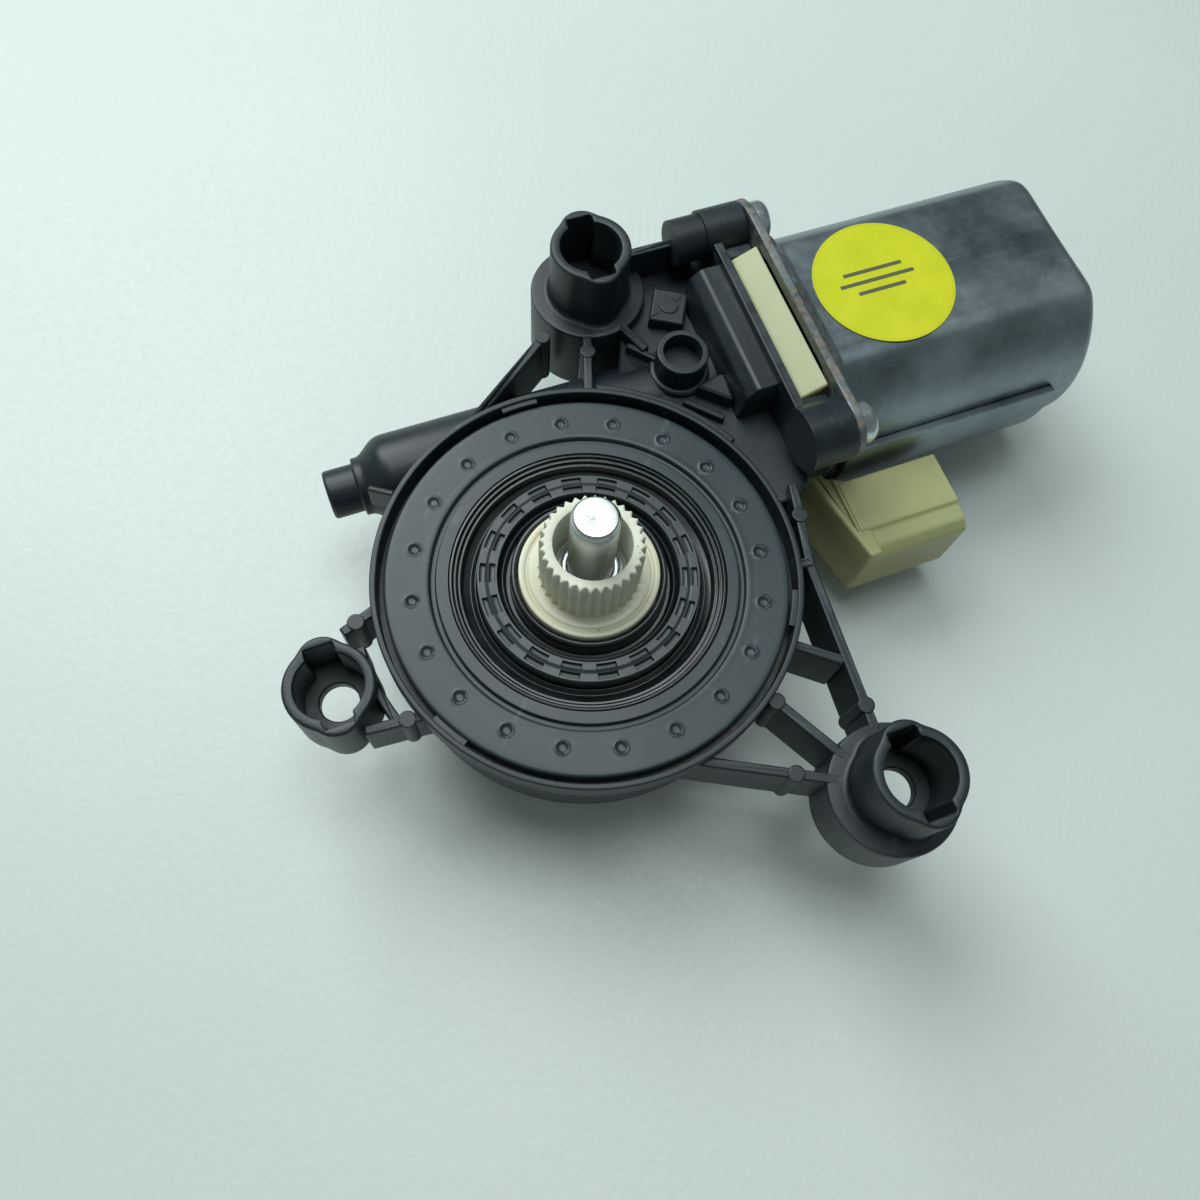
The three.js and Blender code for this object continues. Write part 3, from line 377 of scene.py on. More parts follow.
def blackPlastic(name, dark, light, rough, grain=1.0, dust=0.35):
    # Moulded glass-filled plastic: fine grain, cloudy flow marks, pale dust and scuffed outer edges.
    look = Look(name)
    fine = look.noise(2600, 3, 0.6)
    flow = look.noise(55, 6, 0.62)
    broad = look.noise(14, 3, 0.5)
    scuffs = look.noise(420, 5, 0.7, (1, 0.6, 1)).span(0.62, 0.72)
    worn = look.edges() * look.noise(300, 4).span(0.35, 0.6)
    dustSpots = look.specks(900, 0.06) * look.noise(70).span(0.5, 0.6)
    base = look.mix(flow.span(0.35, 0.68), dark, light)
    dusty = look.mix(dustSpots * dust, base, (0.42, 0.46, 0.46))
    rubbed = look.mix(worn * 0.4, dusty, (0.1, 0.13, 0.145))
    colour = look.mix(scuffs * 0.09, rubbed, (0.2, 0.25, 0.27))
    roughness = rough + (flow - 0.5) * 0.22 + (broad - 0.5) * 0.2 + scuffs * 0.08
    height = fine * 0.6 * grain + flow * 0.5
    return look.done(colour, roughness, height, 0.00006, 0.55, Specular_IOR_Level=0.52)


def sealRubber(name):
    look = Look(name)
    smear = look.noise(90, 5, 0.6)
    grease = look.noise(38, 3).span(0.45, 0.62)
    colour = look.mix(smear.span(0.4, 0.65), (0.006, 0.008, 0.011), (0.017, 0.021, 0.025))
    roughness = 0.3 - grease * 0.12 + (smear - 0.5) * 0.12
    return look.done(colour, roughness, smear, 0.00005, 0.5, Coat_Weight=0.25, Coat_Roughness=0.18)


def creamPlastic(name):
    # Bearing plastic with a trace of grease: warm stains low down and small dark specks.
    look = Look(name)
    cloud = look.noise(140, 4, 0.6)
    height = look.parts()[2]
    low = height.span(flangeTop * mm + 0.0035, flangeTop * mm - 0.0008)
    dirt = look.specks(520, 0.075) * look.noise(260).span(0.5, 0.58)
    clean = look.mix(cloud.span(0.35, 0.65), (0.72, 0.72, 0.58), (0.83, 0.83, 0.71))
    stained = look.mix(low * cloud.span(0.3, 0.6) * 0.55, clean, (0.55, 0.5, 0.28))
    colour = look.mix(dirt * 0.85, stained, (0.05, 0.045, 0.035))
    roughness = 0.42 - low * 0.18 + (cloud - 0.5) * 0.12
    return look.done(colour, roughness, look.noise(1500, 3), 0.00004, 0.4,
                     Subsurface_Weight=0.12, Subsurface_Radius=(0.002, 0.0018, 0.001), Subsurface_Scale=0.6)


def naturalPlastic(name, topHeight):
    # Uncoloured plastic that lets some light in: pale on top, painted light down its sides (a darker amber that
    # stands for light passing through its edges), and yellowed patches.
    look = Look(name)
    cloud = look.noise(60, 4, 0.55)
    fine = look.noise(1400, 3)
    yellow = look.noise(30, 2).span(0.45, 0.62)
    height = look.parts()[2]
    # Painted light: this mask runs from just under the top to 6 mm lower and paints the sides a darker amber, for
    # light passing through the edges.
    side = height.span(topHeight * mm - 0.0003, topHeight * mm - 0.006)
    pale = look.mix(cloud.span(0.35, 0.66), (0.42, 0.45, 0.23), (0.5, 0.53, 0.31))
    aged = look.mix(yellow * 0.35, pale, (0.46, 0.41, 0.12))
    # The painted amber of light through the edges goes on here, by height.
    colour = look.mix(side * 0.7, aged, (0.36, 0.3, 0.12))
    roughness = 0.36 + (cloud - 0.5) * 0.2
    return look.done(colour, roughness, fine * 0.5 + cloud, 0.00006, 0.45,
                     Subsurface_Weight=0.3, Subsurface_Radius=(0.006, 0.0055, 0.0025), Subsurface_Scale=0.5)


def turnedSteel(name):
    # Ground pin: rings left by the tool on its end, fine lines round its side, a darker greased foot.
    look = Look(name)
    x, y, z = look.parts()
    distance = (x * x + y * y).power(0.5)
    rings = look.node("ShaderNodeMath", {"operation": "SINE"}, {0: distance * 21000})
    lines = look.noise(900, 3, 0.6, (0.08, 0.08, 9))
    stain = z.span(hubTop * mm + 0.004, hubTop * mm - 0.006)
    clean = look.mix(lines.span(0.3, 0.7), (0.52, 0.54, 0.54), (0.7, 0.72, 0.72))
    colour = look.mix(stain * 0.6, clean, (0.2, 0.21, 0.2))
    roughness = 0.27 + (lines - 0.5) * 0.15 + stain * 0.12
    return look.done(colour, roughness, rings * 0.35 + lines, 0.00002, 0.5, Metallic=1.0)


def canSteel(name, rustFrom=None):
    # Zinc-plated drawn sheet: cloudy plating, drawing lines along it, dull scratches, and rust at its flange.
    look = Look(name)
    x = look.parts()[0]
    cloud = look.noise(45, 6, 0.65)
    drawn = look.noise(420, 4, 0.6, (0.06, 1, 1))
    scratches = look.noise(260, 6, 0.75, (0.5, 3, 1)).span(0.63, 0.68)
    plated = look.mix(cloud.span(0.32, 0.68), (0.13, 0.165, 0.185), (0.34, 0.4, 0.43))
    lit = look.mix(scratches * 0.35, plated, (0.62, 0.66, 0.68))
    colour, rust = lit, None
    if rustFrom is not None:
        nearFlange = x.span(rustFrom + 0.0015, rustFrom - 0.0006)
        rust = nearFlange * look.noise(330, 6, 0.7).span(0.4, 0.62)
        brown = look.mix(look.noise(900, 3).span(0.35, 0.65), (0.11, 0.075, 0.05), (0.3, 0.23, 0.17))
        colour = look.mix(rust * 0.85, lit, brown)
    roughness = 0.38 + (cloud - 0.5) * 0.35 + (drawn - 0.5) * 0.2
    if rust is not None:
        roughness = roughness + rust * 0.3
        look.feed(look.shader.inputs["Metallic"], 0.95 - rust * 0.75)
    else:
        look.feed(look.shader.inputs["Metallic"], 0.95)
    return look.done(colour, roughness, drawn + cloud * 0.6, 0.00004, 0.5)


def platedZinc(name):
    look = Look(name)
    cloud = look.noise(260, 5, 0.6)
    colour = look.mix(cloud.span(0.35, 0.65), (0.5, 0.57, 0.6), (0.74, 0.8, 0.82))
    roughness = 0.26 + (cloud - 0.5) * 0.25
    return look.done(colour, roughness, look.noise(1800, 2), 0.00002, 0.5, Metallic=1.0)


def labelFilm(name, centre, radius):
    # Yellow film with a worn rim and a few plain dark bars, which stand for nothing.
    look = Look(name)
    x, y, z = look.parts()
    along, across = x - float(centre[0]) * mm, y - float(centre[1]) * mm
    distance = (along * along + across * across).power(0.5)
    edge = radius * mm
    rim = distance.span(edge * 0.955, edge * 0.97) * distance.span(edge * 0.985, edge * 0.975)
    cloud = look.noise(120, 4)
    yellow = look.mix(cloud.span(0.3, 0.7), (0.62, 0.65, 0.012), (0.72, 0.73, 0.02))
    bars = None
    for offset, reach in ((0.0031, 0.0062), (0.0008, 0.0078), (-0.0015, 0.005)):
        distanceToBar = look.node("ShaderNodeMath", {"operation": "ABSOLUTE"}, {0: across - offset})
        distanceAlong = look.node("ShaderNodeMath", {"operation": "ABSOLUTE"}, {0: along + 0.001})
        bar = (distanceToBar < 0.00042) * (distanceAlong < reach)
        bars = bar if bars is None else bars + bar
    grime = look.noise(700, 5, 0.7).span(0.62, 0.7) * 0.3
    marked = look.mix(bars * 0.85, yellow, (0.02, 0.024, 0.08))
    ringed = look.mix(rim * 0.25, marked, (0.35, 0.36, 0.02))
    colour = look.mix(grime, ringed, (0.3, 0.3, 0.06))
    return look.done(colour, 0.36 + (cloud - 0.5) * 0.15, look.noise(500, 3), 0.00003, 0.4, Coat_Weight=0.2)


def internalFinish(name, first, second, rough, metal, scale=600, stretch=None):
    look = Look(name)
    grain = look.noise(scale, 4, 0.6, stretch)
    colour = look.mix(grain.span(0.3, 0.7), first, second)
    return look.done(colour, rough + (grain - 0.5) * 0.2, grain, 0.00004, 0.5, Metallic=metal)


def tableTop(name):
    # Pale laminate with a pebbled skin.
    look = Look(name)
    pebble = look.node("ShaderNodeTexVoronoi", {"feature": "SMOOTH_F1"},
                       {"Vector": look.place, "Scale": 700, "Smoothness": 0.7}, "Distance")
    broad = look.noise(3, 3)
    colour = look.mix(broad.span(0.3, 0.7), (0.66, 0.735, 0.715), (0.74, 0.8, 0.785))
    return look.done(colour, 0.42 + (pebble - 0.4) * 0.15, pebble, 0.0001, 0.4)


finishes = {
    "housing": blackPlastic("mouldedBlack", (0.006, 0.0125, 0.018), (0.013, 0.022, 0.028), 0.42),
    "cover": blackPlastic("burnishedBlack", (0.017, 0.029, 0.036), (0.028, 0.043, 0.052), 0.4, 0.7, 0.5),
    "drum": blackPlastic("drumGrey", (0.028, 0.037, 0.042), (0.047, 0.06, 0.067), 0.36, 0.5, 0.2),
    "rubber": sealRubber("sealRubber"),
    "hub": creamPlastic("creamPlastic"),
    "natural": naturalPlastic("naturalPlastic", 13.0),
    "pin": turnedSteel("groundSteel"),
    "zinc": platedZinc("brightZinc"),
    "can": canSteel("drawnSteel", canStart * mm),
    "sheet": canSteel("ringSteel"),
    "bronze": internalFinish("sinteredBronze", (0.34, 0.22, 0.1), (0.52, 0.36, 0.18), 0.5, 1.0),
    "copper": internalFinish("copperWire", (0.45, 0.18, 0.08), (0.72, 0.36, 0.18), 0.35, 1.0, 900, (1, 6, 6)),
    "core": internalFinish("laminations", (0.2, 0.21, 0.22), (0.38, 0.39, 0.4), 0.5, 1.0, 1500, (8, 0.2, 0.2)),
    "magnet": internalFinish("ferrite", (0.05, 0.053, 0.056), (0.09, 0.093, 0.096), 0.75, 0.0),
    "carbon": internalFinish("brushCarbon", (0.03, 0.026, 0.022), (0.08, 0.06, 0.045), 0.7, 0.1),
    "steel": internalFinish("barSteel", (0.4, 0.41, 0.42), (0.62, 0.63, 0.64), 0.3, 1.0, 500, (0.1, 3, 3)),
}
print("finishes made")

# The camera stands over the gear housing, with its right side turned towards the motor.
camera = {"place": (-0.03062, -0.06116, 0.18432), "right": (0.93628, -0.34634, 0.05861),
          "up": (0.30256, 0.87991, 0.36636), "back": (-0.17846, -0.32528, 0.92862), "lens": 30}


def makeCamera():
    data = bpy.data.cameras.new("camera")
    data.lens = camera["lens"]
    data.sensor_width = 36
    data.clip_start, data.clip_end = 0.005, 20
    made = bpy.data.objects.new("camera", data)
    axes = Matrix([camera["right"], camera["up"], camera["back"]]).transposed().to_4x4()
    made.matrix_world = Matrix.Translation(camera["place"]) @ axes
    bpy.context.scene.collection.objects.link(made)
    bpy.context.scene.camera = made


makeCamera()

# Gear housing: pot and rim, tube, three bosses, ribs, deck, and the frame that takes the motor.
pot = {"outer": 35.6, "inner": 32, "floor": 3, "rimOuter": 37.7, "rimInner": 36.6, "rimLow": rimTop - 5.5}
boss = {"outer": 7.8, "lobeOut": 4.6, "lobeR": 4.35, "bore": 5.75, "notch": 2.5, "notchReach": 7.1, "hole": 3.4,
        "floor": 2.4, "baseR": 11.3, "roomR": 9}
bosses = [("left_boss_seat", 13, None), ("upper_boss_seat", 23, 7), ("right_boss_seat", 23, 10.8)]
rib = {"thick": 1.8, "top": rimTop - 2, "low": 11.2, "leftLow": 13.5, "dotR": 1.5, "dotHigh": 0.25}
ribs = [((-43, 4), (-33, 7.8), 13.5, 0.27), ((-44, -13.6), (-31.5, -14.5), 13.5, 0.57),
        ((9.2, 50.4), (-10, 36.4), 11.2, 0.02), ((17.2, 47.8), (12.6, 34.6), 11.2, 0.26),
        ((24.3, 48.2), (27, 41.5), 11.2, None), ((42.2, 5.6), (38.4, -10.7), 11.2, 0.4),
        ((38.4, -10.7), (36.2, -42), 11.2, 0.85), ((38.6, -10), (33.4, -9.2), 11.2, None),
        ((36.4, -28.9), (26.8, -21.2), 11.2, None), ((29.2, -44), (20, -27.5), 11.2, 0.75),
        ((26.5, -47.2), (2, -34.5), 11.2, 0.25)]


def smoothMax(first, second, sharp=5.0):
    # The larger of two values with a soft change between them: the log of the sum of both exponentials.
    return np.logaddexp(sharp * first, sharp * second) / sharp


def bossLoops(count):
    # Outer radius by angle: a circle or either lobe, whichever reaches further. Inner: the bore or its notches.
    angle = turns(count)
    side, up = np.abs(np.cos(angle)), np.abs(np.sin(angle))
    room = np.maximum(boss["lobeR"] ** 2 - (boss["lobeOut"] * side) ** 2, 0)
    lobe = np.where(room > 0, boss["lobeOut"] * up + np.sqrt(room), 0)
    outer = smoothMax(np.full(count, float(boss["outer"])), lobe) - 0.05
    notch = np.minimum(boss["notch"] / np.maximum(side, 1e-6), boss["notchReach"] / np.maximum(up, 1e-6))
    inner = np.maximum(boss["bore"], notch)
    return outer, (np.roll(inner, 1) + 2 * inner + np.roll(inner, -1)) / 4


def bossSolid(centre, top, low, baseLow, count=192):
    # Rows run up the outside, over the rounded top edge, down the counterbore and out through the hole.
    outer, inner = bossLoops(count)
    seat = low + boss["floor"] if baseLow is None else low
    if baseLow is None:
        start = [(outer - 0.4, low), (outer, low + 0.4)]
    else:
        base = boss["baseR"]
        start = [(base - 0.3, baseLow), (base, baseLow + 0.3), (base, low - 0.6), (base - 0.18, low - 0.18),
                 (base - 0.6, low), (outer + 1.0, low), (outer + 0.45, low + 0.12), (outer + 0.12, low + 0.45),
                 (outer, low + 1.1)]
    upper = [(outer - 0.1, top - 0.55), (outer - 0.18, top - 0.25), (outer - 0.4, top - 0.06),
             (outer - 0.62, top),
             (inner + 0.45, top), (inner + 0.16, top - 0.1), (inner + 0.03, top - 0.4), (inner, top - 0.8),
             (inner, seat + 0.3), (inner - 0.3, seat), (boss["hole"] + 0.25, seat), (boss["hole"], seat - 0.25)]
    if baseLow is None:
        end = [(boss["hole"], low + 0.2), (boss["hole"] + 0.2, low)]
    else:
        under = low - boss["floor"]
        end = [(boss["hole"], under + 0.2), (boss["hole"] + 0.2, under), (boss["roomR"] - 0.5, under),
               (boss["roomR"], under - 0.5), (boss["roomR"], baseLow + 0.2), (boss["roomR"] + 0.2, baseLow)]
    rows = start + upper + end
    return pairRows(rows, count) + np.array([*centre, 0]), True


def potSolids():
    # The pot and its rim turned about the pin, three snap tabs, and two arcs that stand out from the rim.
    profile = [[pot["outer"], 0], [pot["outer"], pot["rimLow"] - 1.2], [pot["rimOuter"], pot["rimLow"] + 0.4],
               [pot["rimOuter"], rimTop], [pot["rimInner"], rimTop], [pot["rimInner"], coverLow - 0.3],
               [pot["inner"], coverLow - 0.3], [pot["inner"], pot["floor"]]]
    solids = [latheSolid(profile, [0.1, 1, 1, 0.7, 0.35, 0.3, 0.2, 0.4, 0.8, 0.1], 216)]
    for i in range(3):
        middle = 91 + 120 * i
        solids.append(arcBar(pot["rimInner"] - 1, pot["rimInner"] + 0.3, middle - 5.5, middle + 5.5,
                             coverTop + 0.1, rimTop - 0.45, 0.15, 12))
    solids.append(arcBar(pot["rimOuter"] - 1.2, pot["rimOuter"] + 1.9, 26, 68, rib["low"], rimTop - 1.6))
    solids.append(arcBar(40, 41.6, 179, 200, rib["leftLow"], rib["top"] - 0.4, 0.3, 20))
    return solids


def tubeSolid():
    # The worm's tube, turned about the shaft line.
    profile = [[4.62, -39], [4.62, -33.2], [5.55, -33.2], [5.55, -31.6], [8.4, -28], [8.4, 47.3]]
    return alongX(latheSolid(profile, [0.1, 0.8, 0.3, 0.4, 0.9, 1.6, 0.3, 0.1], 96))


def ribSolids():
    # Straight ribs in plan, each with a round dot at its share of the way along.
    solids = []
    for start, end, low, dot in ribs:
        solids.append(wall(start, end, rib["thick"], low, rib["top"]))
        if dot is not None:
            x, y = np.array(start) + (np.array(end) - np.array(start)) * dot
            solids.append(disc(x, y, rib["dotR"], low, rib["top"] + rib["dotHigh"], 0.2, 32))
    solids.append(wall((27, 60.2), (44, 60.2), rib["thick"], rib["low"], 28))
    solids.append(wall((-31.5, 29.5), (-27.5, 27), 1.2, 17, 22.5))
    return solids


# The deck fills the corner between the pot, the upper boss and the motor.
deck = {"low": 4.5, "top": 20.5,
        "edge": [[15, 27], [33, 11], [40, 3], [47, 6], [47, 62.5], [38, 62.5], [27, 57.5], [23, 45]]}
ridge = {"left": 39.5, "right": 46, "near": 22.6, "far": 51.5, "top": 29.2, "slope": 2}
pipe = {"x": 32, "y": 36.2, "outer": 5, "inner": 3.8, "top": 27, "floor": 23}


def deckSolids():
    # The deck's outline carried up, the ridge carried across, and the small pads and the pipe on top.
    solids = [slab(deck["edge"], deck["low"], deck["top"], 0.6, 0.2, 1.5)]
    section = [[ridge["left"] - 1, deck["top"] - 1], [ridge["left"], ridge["top"] - ridge["slope"]],
               [ridge["left"] + ridge["slope"], ridge["top"]], [ridge["right"], ridge["top"]],
               [ridge["right"], deck["top"] - 1]]
    carried = slab([[x, z] for x, z in section], ridge["near"], ridge["far"], 0.4, 0.4, 0.6)
    solids.append(carried[..., [0, 2, 1]])
    solids.append(wall((33, 46), (36.8, 52.8), 7, deck["top"] - 1, 23.2, 0.5))
    solids.append(disc(34.9, 49.4, 1.9, 22, 23.45, 0.15, 32))
    solids.append(slab([[32.6, 30.4], [38.6, 25], [39.2, 31.6]], deck["top"] - 1, 23.6, 0.5, 0.1, 1.2))
    solids.append(wall((24, 44), (29, 38.5), 1.2, deck["top"] - 1, 22.4, 0.3))
    solids.append(wall((30, 29), (36, 23), 1.2, deck["top"] - 1, 22, 0.3))
    solids.append(disc(pipe["x"], pipe["y"], pipe["outer"], deck["top"] - 1, pipe["top"], 0.35, 72))
    solids.append(disc(pipe["x"], pipe["y"], pipe["outer"] + 1.1, deck["top"] - 1, deck["top"] + 1.2, 0.9, 72))
    return solids


# Motor end: an open frame round the brush card, with two lugs for the flange screws.
end = {"left": 45.4, "right": canStart - 1.7, "near": 15.8, "far": 55, "wall": 1.9, "side": 2.6, "low": -7,
       "stripTop": 31, "sideTop": 28.8, "lugOut": 24.4, "lugUp": 15, "lugR": (6, 4.9), "lugLeft": 44.8}


def motorEndSolids():
    # The frame and its strip, a barrel and a web for each lug, and the hook that holds the flux ring.
    whole, deep = (end["left"], end["right"]), (end["near"], end["far"])
    solids = [box(whole, deep, (end["low"], end["sideTop"]), 0.4, 0.6),
              box((end["left"], end["left"] + end["wall"]), deep, (end["low"], end["stripTop"]), 0.3, 0.3)]
    for i, side in enumerate((-1, 1)):
        barrel = disc(side * end["lugOut"], end["lugUp"], end["lugR"][i], end["lugLeft"], end["right"], 0.5, 72)
        solids.append(alongX(barrel))
        middle = shaftY + side * end["lugOut"]
        ys = (middle - 2, end["near"] + 1) if side < 0 else (end["far"] - 1, middle + 2)
        solids.append(box(whole, ys, (shaftZ + end["lugUp"] - 14, shaftZ + end["lugUp"] - 1)))
    solids.append(alongX(disc(end["lugOut"], end["lugUp"], 4.4, 38.6, end["lugLeft"] + 1, 0.5, 64)))
    reach = (shaftY - 5, shaftY + 5)
    hookEnd = boxOf("flux_ring")[0][0] - 0.3
    hookTop = shaftZ - 22.6 + 1.2
    hookStart = end["right"] - 3
    solids.append(box((hookStart, hookEnd), reach, (end["low"] - 4.9, end["low"] - 2.9)))
    solids.append(box((canStart + 0.3, hookEnd), reach, (end["low"] - 4, hookTop)))
    solids.append(box((hookStart, end["right"]), reach, (end["low"] - 4.9, end["low"] + 1)))
    return solids


def housingCuts():
    # The card's room, the worm's bore, the pipe, the pot, the deck's hollow, screw holes and boss holes.
    cuts = [box((end["left"] + end["wall"], canStart + 20),
                (end["near"] + end["side"], end["far"] - end["side"]),
                (end["low"] + end["side"], end["stripTop"] + 4), 0.3, 0.5)]
    card = boxOf("brush_card")
    cuts.append(box((end["left"] + 4.3, canStart + 20), (-20, end["near"] + end["side"] + 1),
                    (card[0][2] - 0.3, 13.3), 0.2, 0.3))
    bore = [[3.4, -37.6], [3.4, -29.2], [6.55, -29.2], [6.55, 48.3]]
    cuts.append(alongX(latheSolid(bore, [0.1, 0.3, 0.1, 0.1, 0.1, 0.1], 64)))
    cuts.append(disc(pipe["x"], pipe["y"], pipe["inner"], pipe["floor"], pipe["top"] + 1, 0.1, 72))
    room, rimRoom = pot["inner"] - 0.01, pot["rimInner"] - 0.01
    cuts.append(latheSolid([[room, pot["floor"] + 0.01], [room, coverLow - 0.2]], 0.05, 216))
    cuts.append(latheSolid([[rimRoom, coverLow - 0.29], [rimRoom, coverTop + 0.1]], 0.03, 216))
    middle = np.array([35.5, 35])
    edge = np.array(deck["edge"], float)
    away = np.linalg.norm(edge - middle, axis=1, keepdims=True)
    cuts.append(slab(middle + (edge - middle) * (away - 3) / away, deck["low"] - 1, shaftZ, 0.8, 0.1, 1.5))
    for side in (-1, 1):
        hole = disc(side * end["lugOut"], end["lugUp"], 2.0, end["right"] - 7.8, canStart + 5, 0.1, 24)
        cuts.append(alongX(hole))
    for name, low, baseLow in bosses:
        x, y = mounts[name][0] - bossSideways, mounts[name][1]
        seat = low + boss["floor"] if baseLow is None else low
        outer, inner = bossLoops(192)
        rows = polarRows([inner, inner], [seat + 0.01, mounts[name][2] + 1], 192) + np.array([x, y, 0])
        cuts.append(rows)
        cuts.append(disc(x, y, boss["hole"], 0, seat + 1, 0.05, 48))
        if baseLow is not None:
            cuts.append(disc(x, y, boss["roomR"], 0, low - boss["floor"], 0.3, 96))
    return cuts


def makeHousing():
    solids = potSolids() + [tubeSolid()] + deckSolids() + motorEndSolids() + ribSolids()
    for name, low, baseLow in bosses:
        centre = mounts[name][0] - bossSideways, mounts[name][1]
        solids.append(bossSolid(centre, mounts[name][2], low, baseLow))
    housing = built("gearHousing", solids, housingCuts())
    hubPost = meshObject("post", latheSolid([[7.6, 2.5], [7.6, 6.4]], 0.2, 72))
    bore = pinRadius + 0.1
    pinHole = meshObject("pinHole", latheSolid([[bore, pinLow - 0.1], [bore, 8]], 0.05, 64))
    carve(housing, [hubPost], "UNION")
    carve(housing, [pinHole], "DIFFERENCE")
    return finish(housing, "housing", finishes["housing"], ["gear_housing"])


makeHousing()
print("gear housing made")

# Cover: a flat ring with a turned groove and a circle of moulded dimples.
cover = {"grooveIn": 26.6, "grooveOut": 27.6, "grooveDeep": 0.9, "dimples": 20, "dimpleR": 0.95, "inset": 4.7,
         "dimpleDeep": 0.3, "firstDeg": 7.8}


def makeCover():
    # Height by radius and angle: flat, less the groove, less a round hollow at each dimple.
    inner, outer = boxOf("cover_seal")[1][0] + 0.1, coverOuter
    pitch = outer - cover["inset"]
    fine = lambda middle: np.linspace(middle - 0.35, middle + 0.35, 5)
    radius = np.unique(np.concatenate([
        np.linspace(inner + 0.3, outer - 0.7, 14), fine(cover["grooveIn"]), fine(cover["grooveOut"]),
        np.linspace(pitch - 1.3, pitch + 1.3, 12), [inner + 0.05, inner + 0.12, outer - 0.45, outer - 0.2]]))
    angle = turns(900)
    step = np.radians(360 / cover["dimples"])
    nearest = (angle - np.radians(cover["firstDeg"]) + step / 2) % step - step / 2
    away = np.hypot(radius[:, None] - pitch, pitch * nearest[None])
    hollow = cover["dimpleDeep"] * np.clip((cover["dimpleR"] - away) / 0.3, 0, 1)
    lip = 0.16 * np.clip(1 - np.abs(away - cover["dimpleR"] - 0.2) / 0.22, 0, 1)
    soft = lambda edge: 1 / (1 + np.exp(-(radius - edge) / 0.05))
    groove = cover["grooveDeep"] * (soft(cover["grooveIn"]) - soft(cover["grooveOut"]))
    bank = 0.25 * np.clip((radius - outer + 0.7) / 0.7, 0, 1) ** 2
    bead = 0.2 * np.exp(-((radius - cover["grooveOut"] - 0.6) / 0.25) ** 2)
    height = coverTop - (groove + bank - bead)[:, None] - hollow + lip
    face = polarFace(radius, angle, height)
    under = polarRows([outer, outer - 0.2, inner + 0.2, inner, inner], [coverLow + 0.3, coverLow, coverLow,
                                                                       coverLow + 0.3, coverTop - 0.3], 900)
    side = polarRows([outer, outer], [coverTop - 0.6, coverTop - 1.5], 900)
    solid = meshObject("gearCover", np.concatenate([face, side, under]), True)
    return finish(solid, "housing", finishes["cover"], ["gear_cover"], 50)


# Seals: stepped glossy rings either side of the drum's slotted face.
def makeSeals():
    outer, top = boxOf("cover_seal")[1][0], boxOf("cover_seal")[1][2]
    drumOuter = 19.5
    lip, low = drumOuter + 0.12, top - 4.3
    profile = [[lip, low + 0.4], [lip + 1, low], [outer, low], [outer, top], [outer - 0.5, top + 0.1],
               [outer - 0.75, top - 0.55], [outer - 1.2, top - 0.5], [outer - 1.45, top - 1.15],
               [outer - 1.95, top - 1.1], [outer - 2.3, top - 2.7], [lip + 1.1, low + 1.1],
               [lip + 0.3, low + 1.75], [lip, low + 1.6]]
    points, faces = lathe(profile, 0.16, 216)
    finish(objectOf("coverSeal", points, faces), "housing", finishes["rubber"], ["cover_seal"], 50)
    outer, top = boxOf("hub_seal")[1][0], boxOf("hub_seal")[1][2]
    lip, low = 12.6, boxOf("hub_seal")[0][2]
    profile = [[lip, low], [outer, low], [outer, top - 3.1], [outer - 0.85, top - 2.7],
               [outer - 1.2, top - 4.3], [lip + 1.15, top - 4.3], [lip + 1.05, top - 0.3],
               [lip + 0.7, top], [lip + 0.3, top], [lip, top - 0.4]]
    points, faces = lathe(profile, 0.2, 216)
    finish(objectOf("hubSeal", points, faces), "output", finishes["rubber"], ["hub_seal"], 50)


# Worm wheel: helical teeth, a web, and a cup whose end face carries two rows of slots.
wheel = {"teeth": 73, "pitchR": 30, "addendum": 0.7, "dedendum": 0.95, "low": 7.5, "high": 18.5,
         "ringInner": 26, "webLow": 11, "webHigh": 15, "drumIn": 15.9, "drumOut": 19.5, "drumLow": 4,
         "floorTop": 6.6, "boreR": 7.7, "slots": 18, "slotDeep": 0.8, "stopIn": 9, "vaneHalf": 1.5, "vaneLow": 7.9, "vaneDrop": 5.3,
         "rootFlank": 0.2755, "tipFlank": 0.203, "toothHalf": 0.2}
wheel["wormPitch"] = shaftY - wheel["pitchR"]
wheel["lead"] = allRounds * wheel["pitchR"] / wheel["teeth"]


def toothedRing(count=73 * 12, levels=12):
    # Radius by angle is a trapezium wave; each level turns in proportion to its height over the shaft line.
    angle = turns(count)
    phase = ((angle - math.pi / 2) * wheel["teeth"] / allRounds + 0.5) % 1 - 0.5
    arc = np.abs(phase) * wheel["lead"]
    half = wheel["toothHalf"] * wheel["lead"]
    slope = (half + wheel["rootFlank"] - arc) / (wheel["rootFlank"] + wheel["tipFlank"])
    toothHigh = wheel["addendum"] + wheel["dedendum"]
    radius = wheel["pitchR"] - wheel["dedendum"] + toothHigh * np.clip(slope, 0, 1)
    lean = wheel["lead"] / (allRounds * wheel["wormPitch"] * wheel["pitchR"])
    heights = np.linspace(wheel["low"], wheel["high"], levels)
    turned = angle[None] + lean * (heights[:, None] - shaftZ)
    outside = np.stack([radius * np.cos(turned), radius * np.sin(turned),
                        np.broadcast_to(heights[:, None], turned.shape)], -1)
    ring = lambda r, z: np.stack([r * np.cos(angle), r * np.sin(angle), np.full(count, z)], -1)[None]
    inside = [ring(wheel["ringInner"], wheel["high"]), ring(wheel["ringInner"], wheel["low"])]
    return np.concatenate([outside] + inside), True


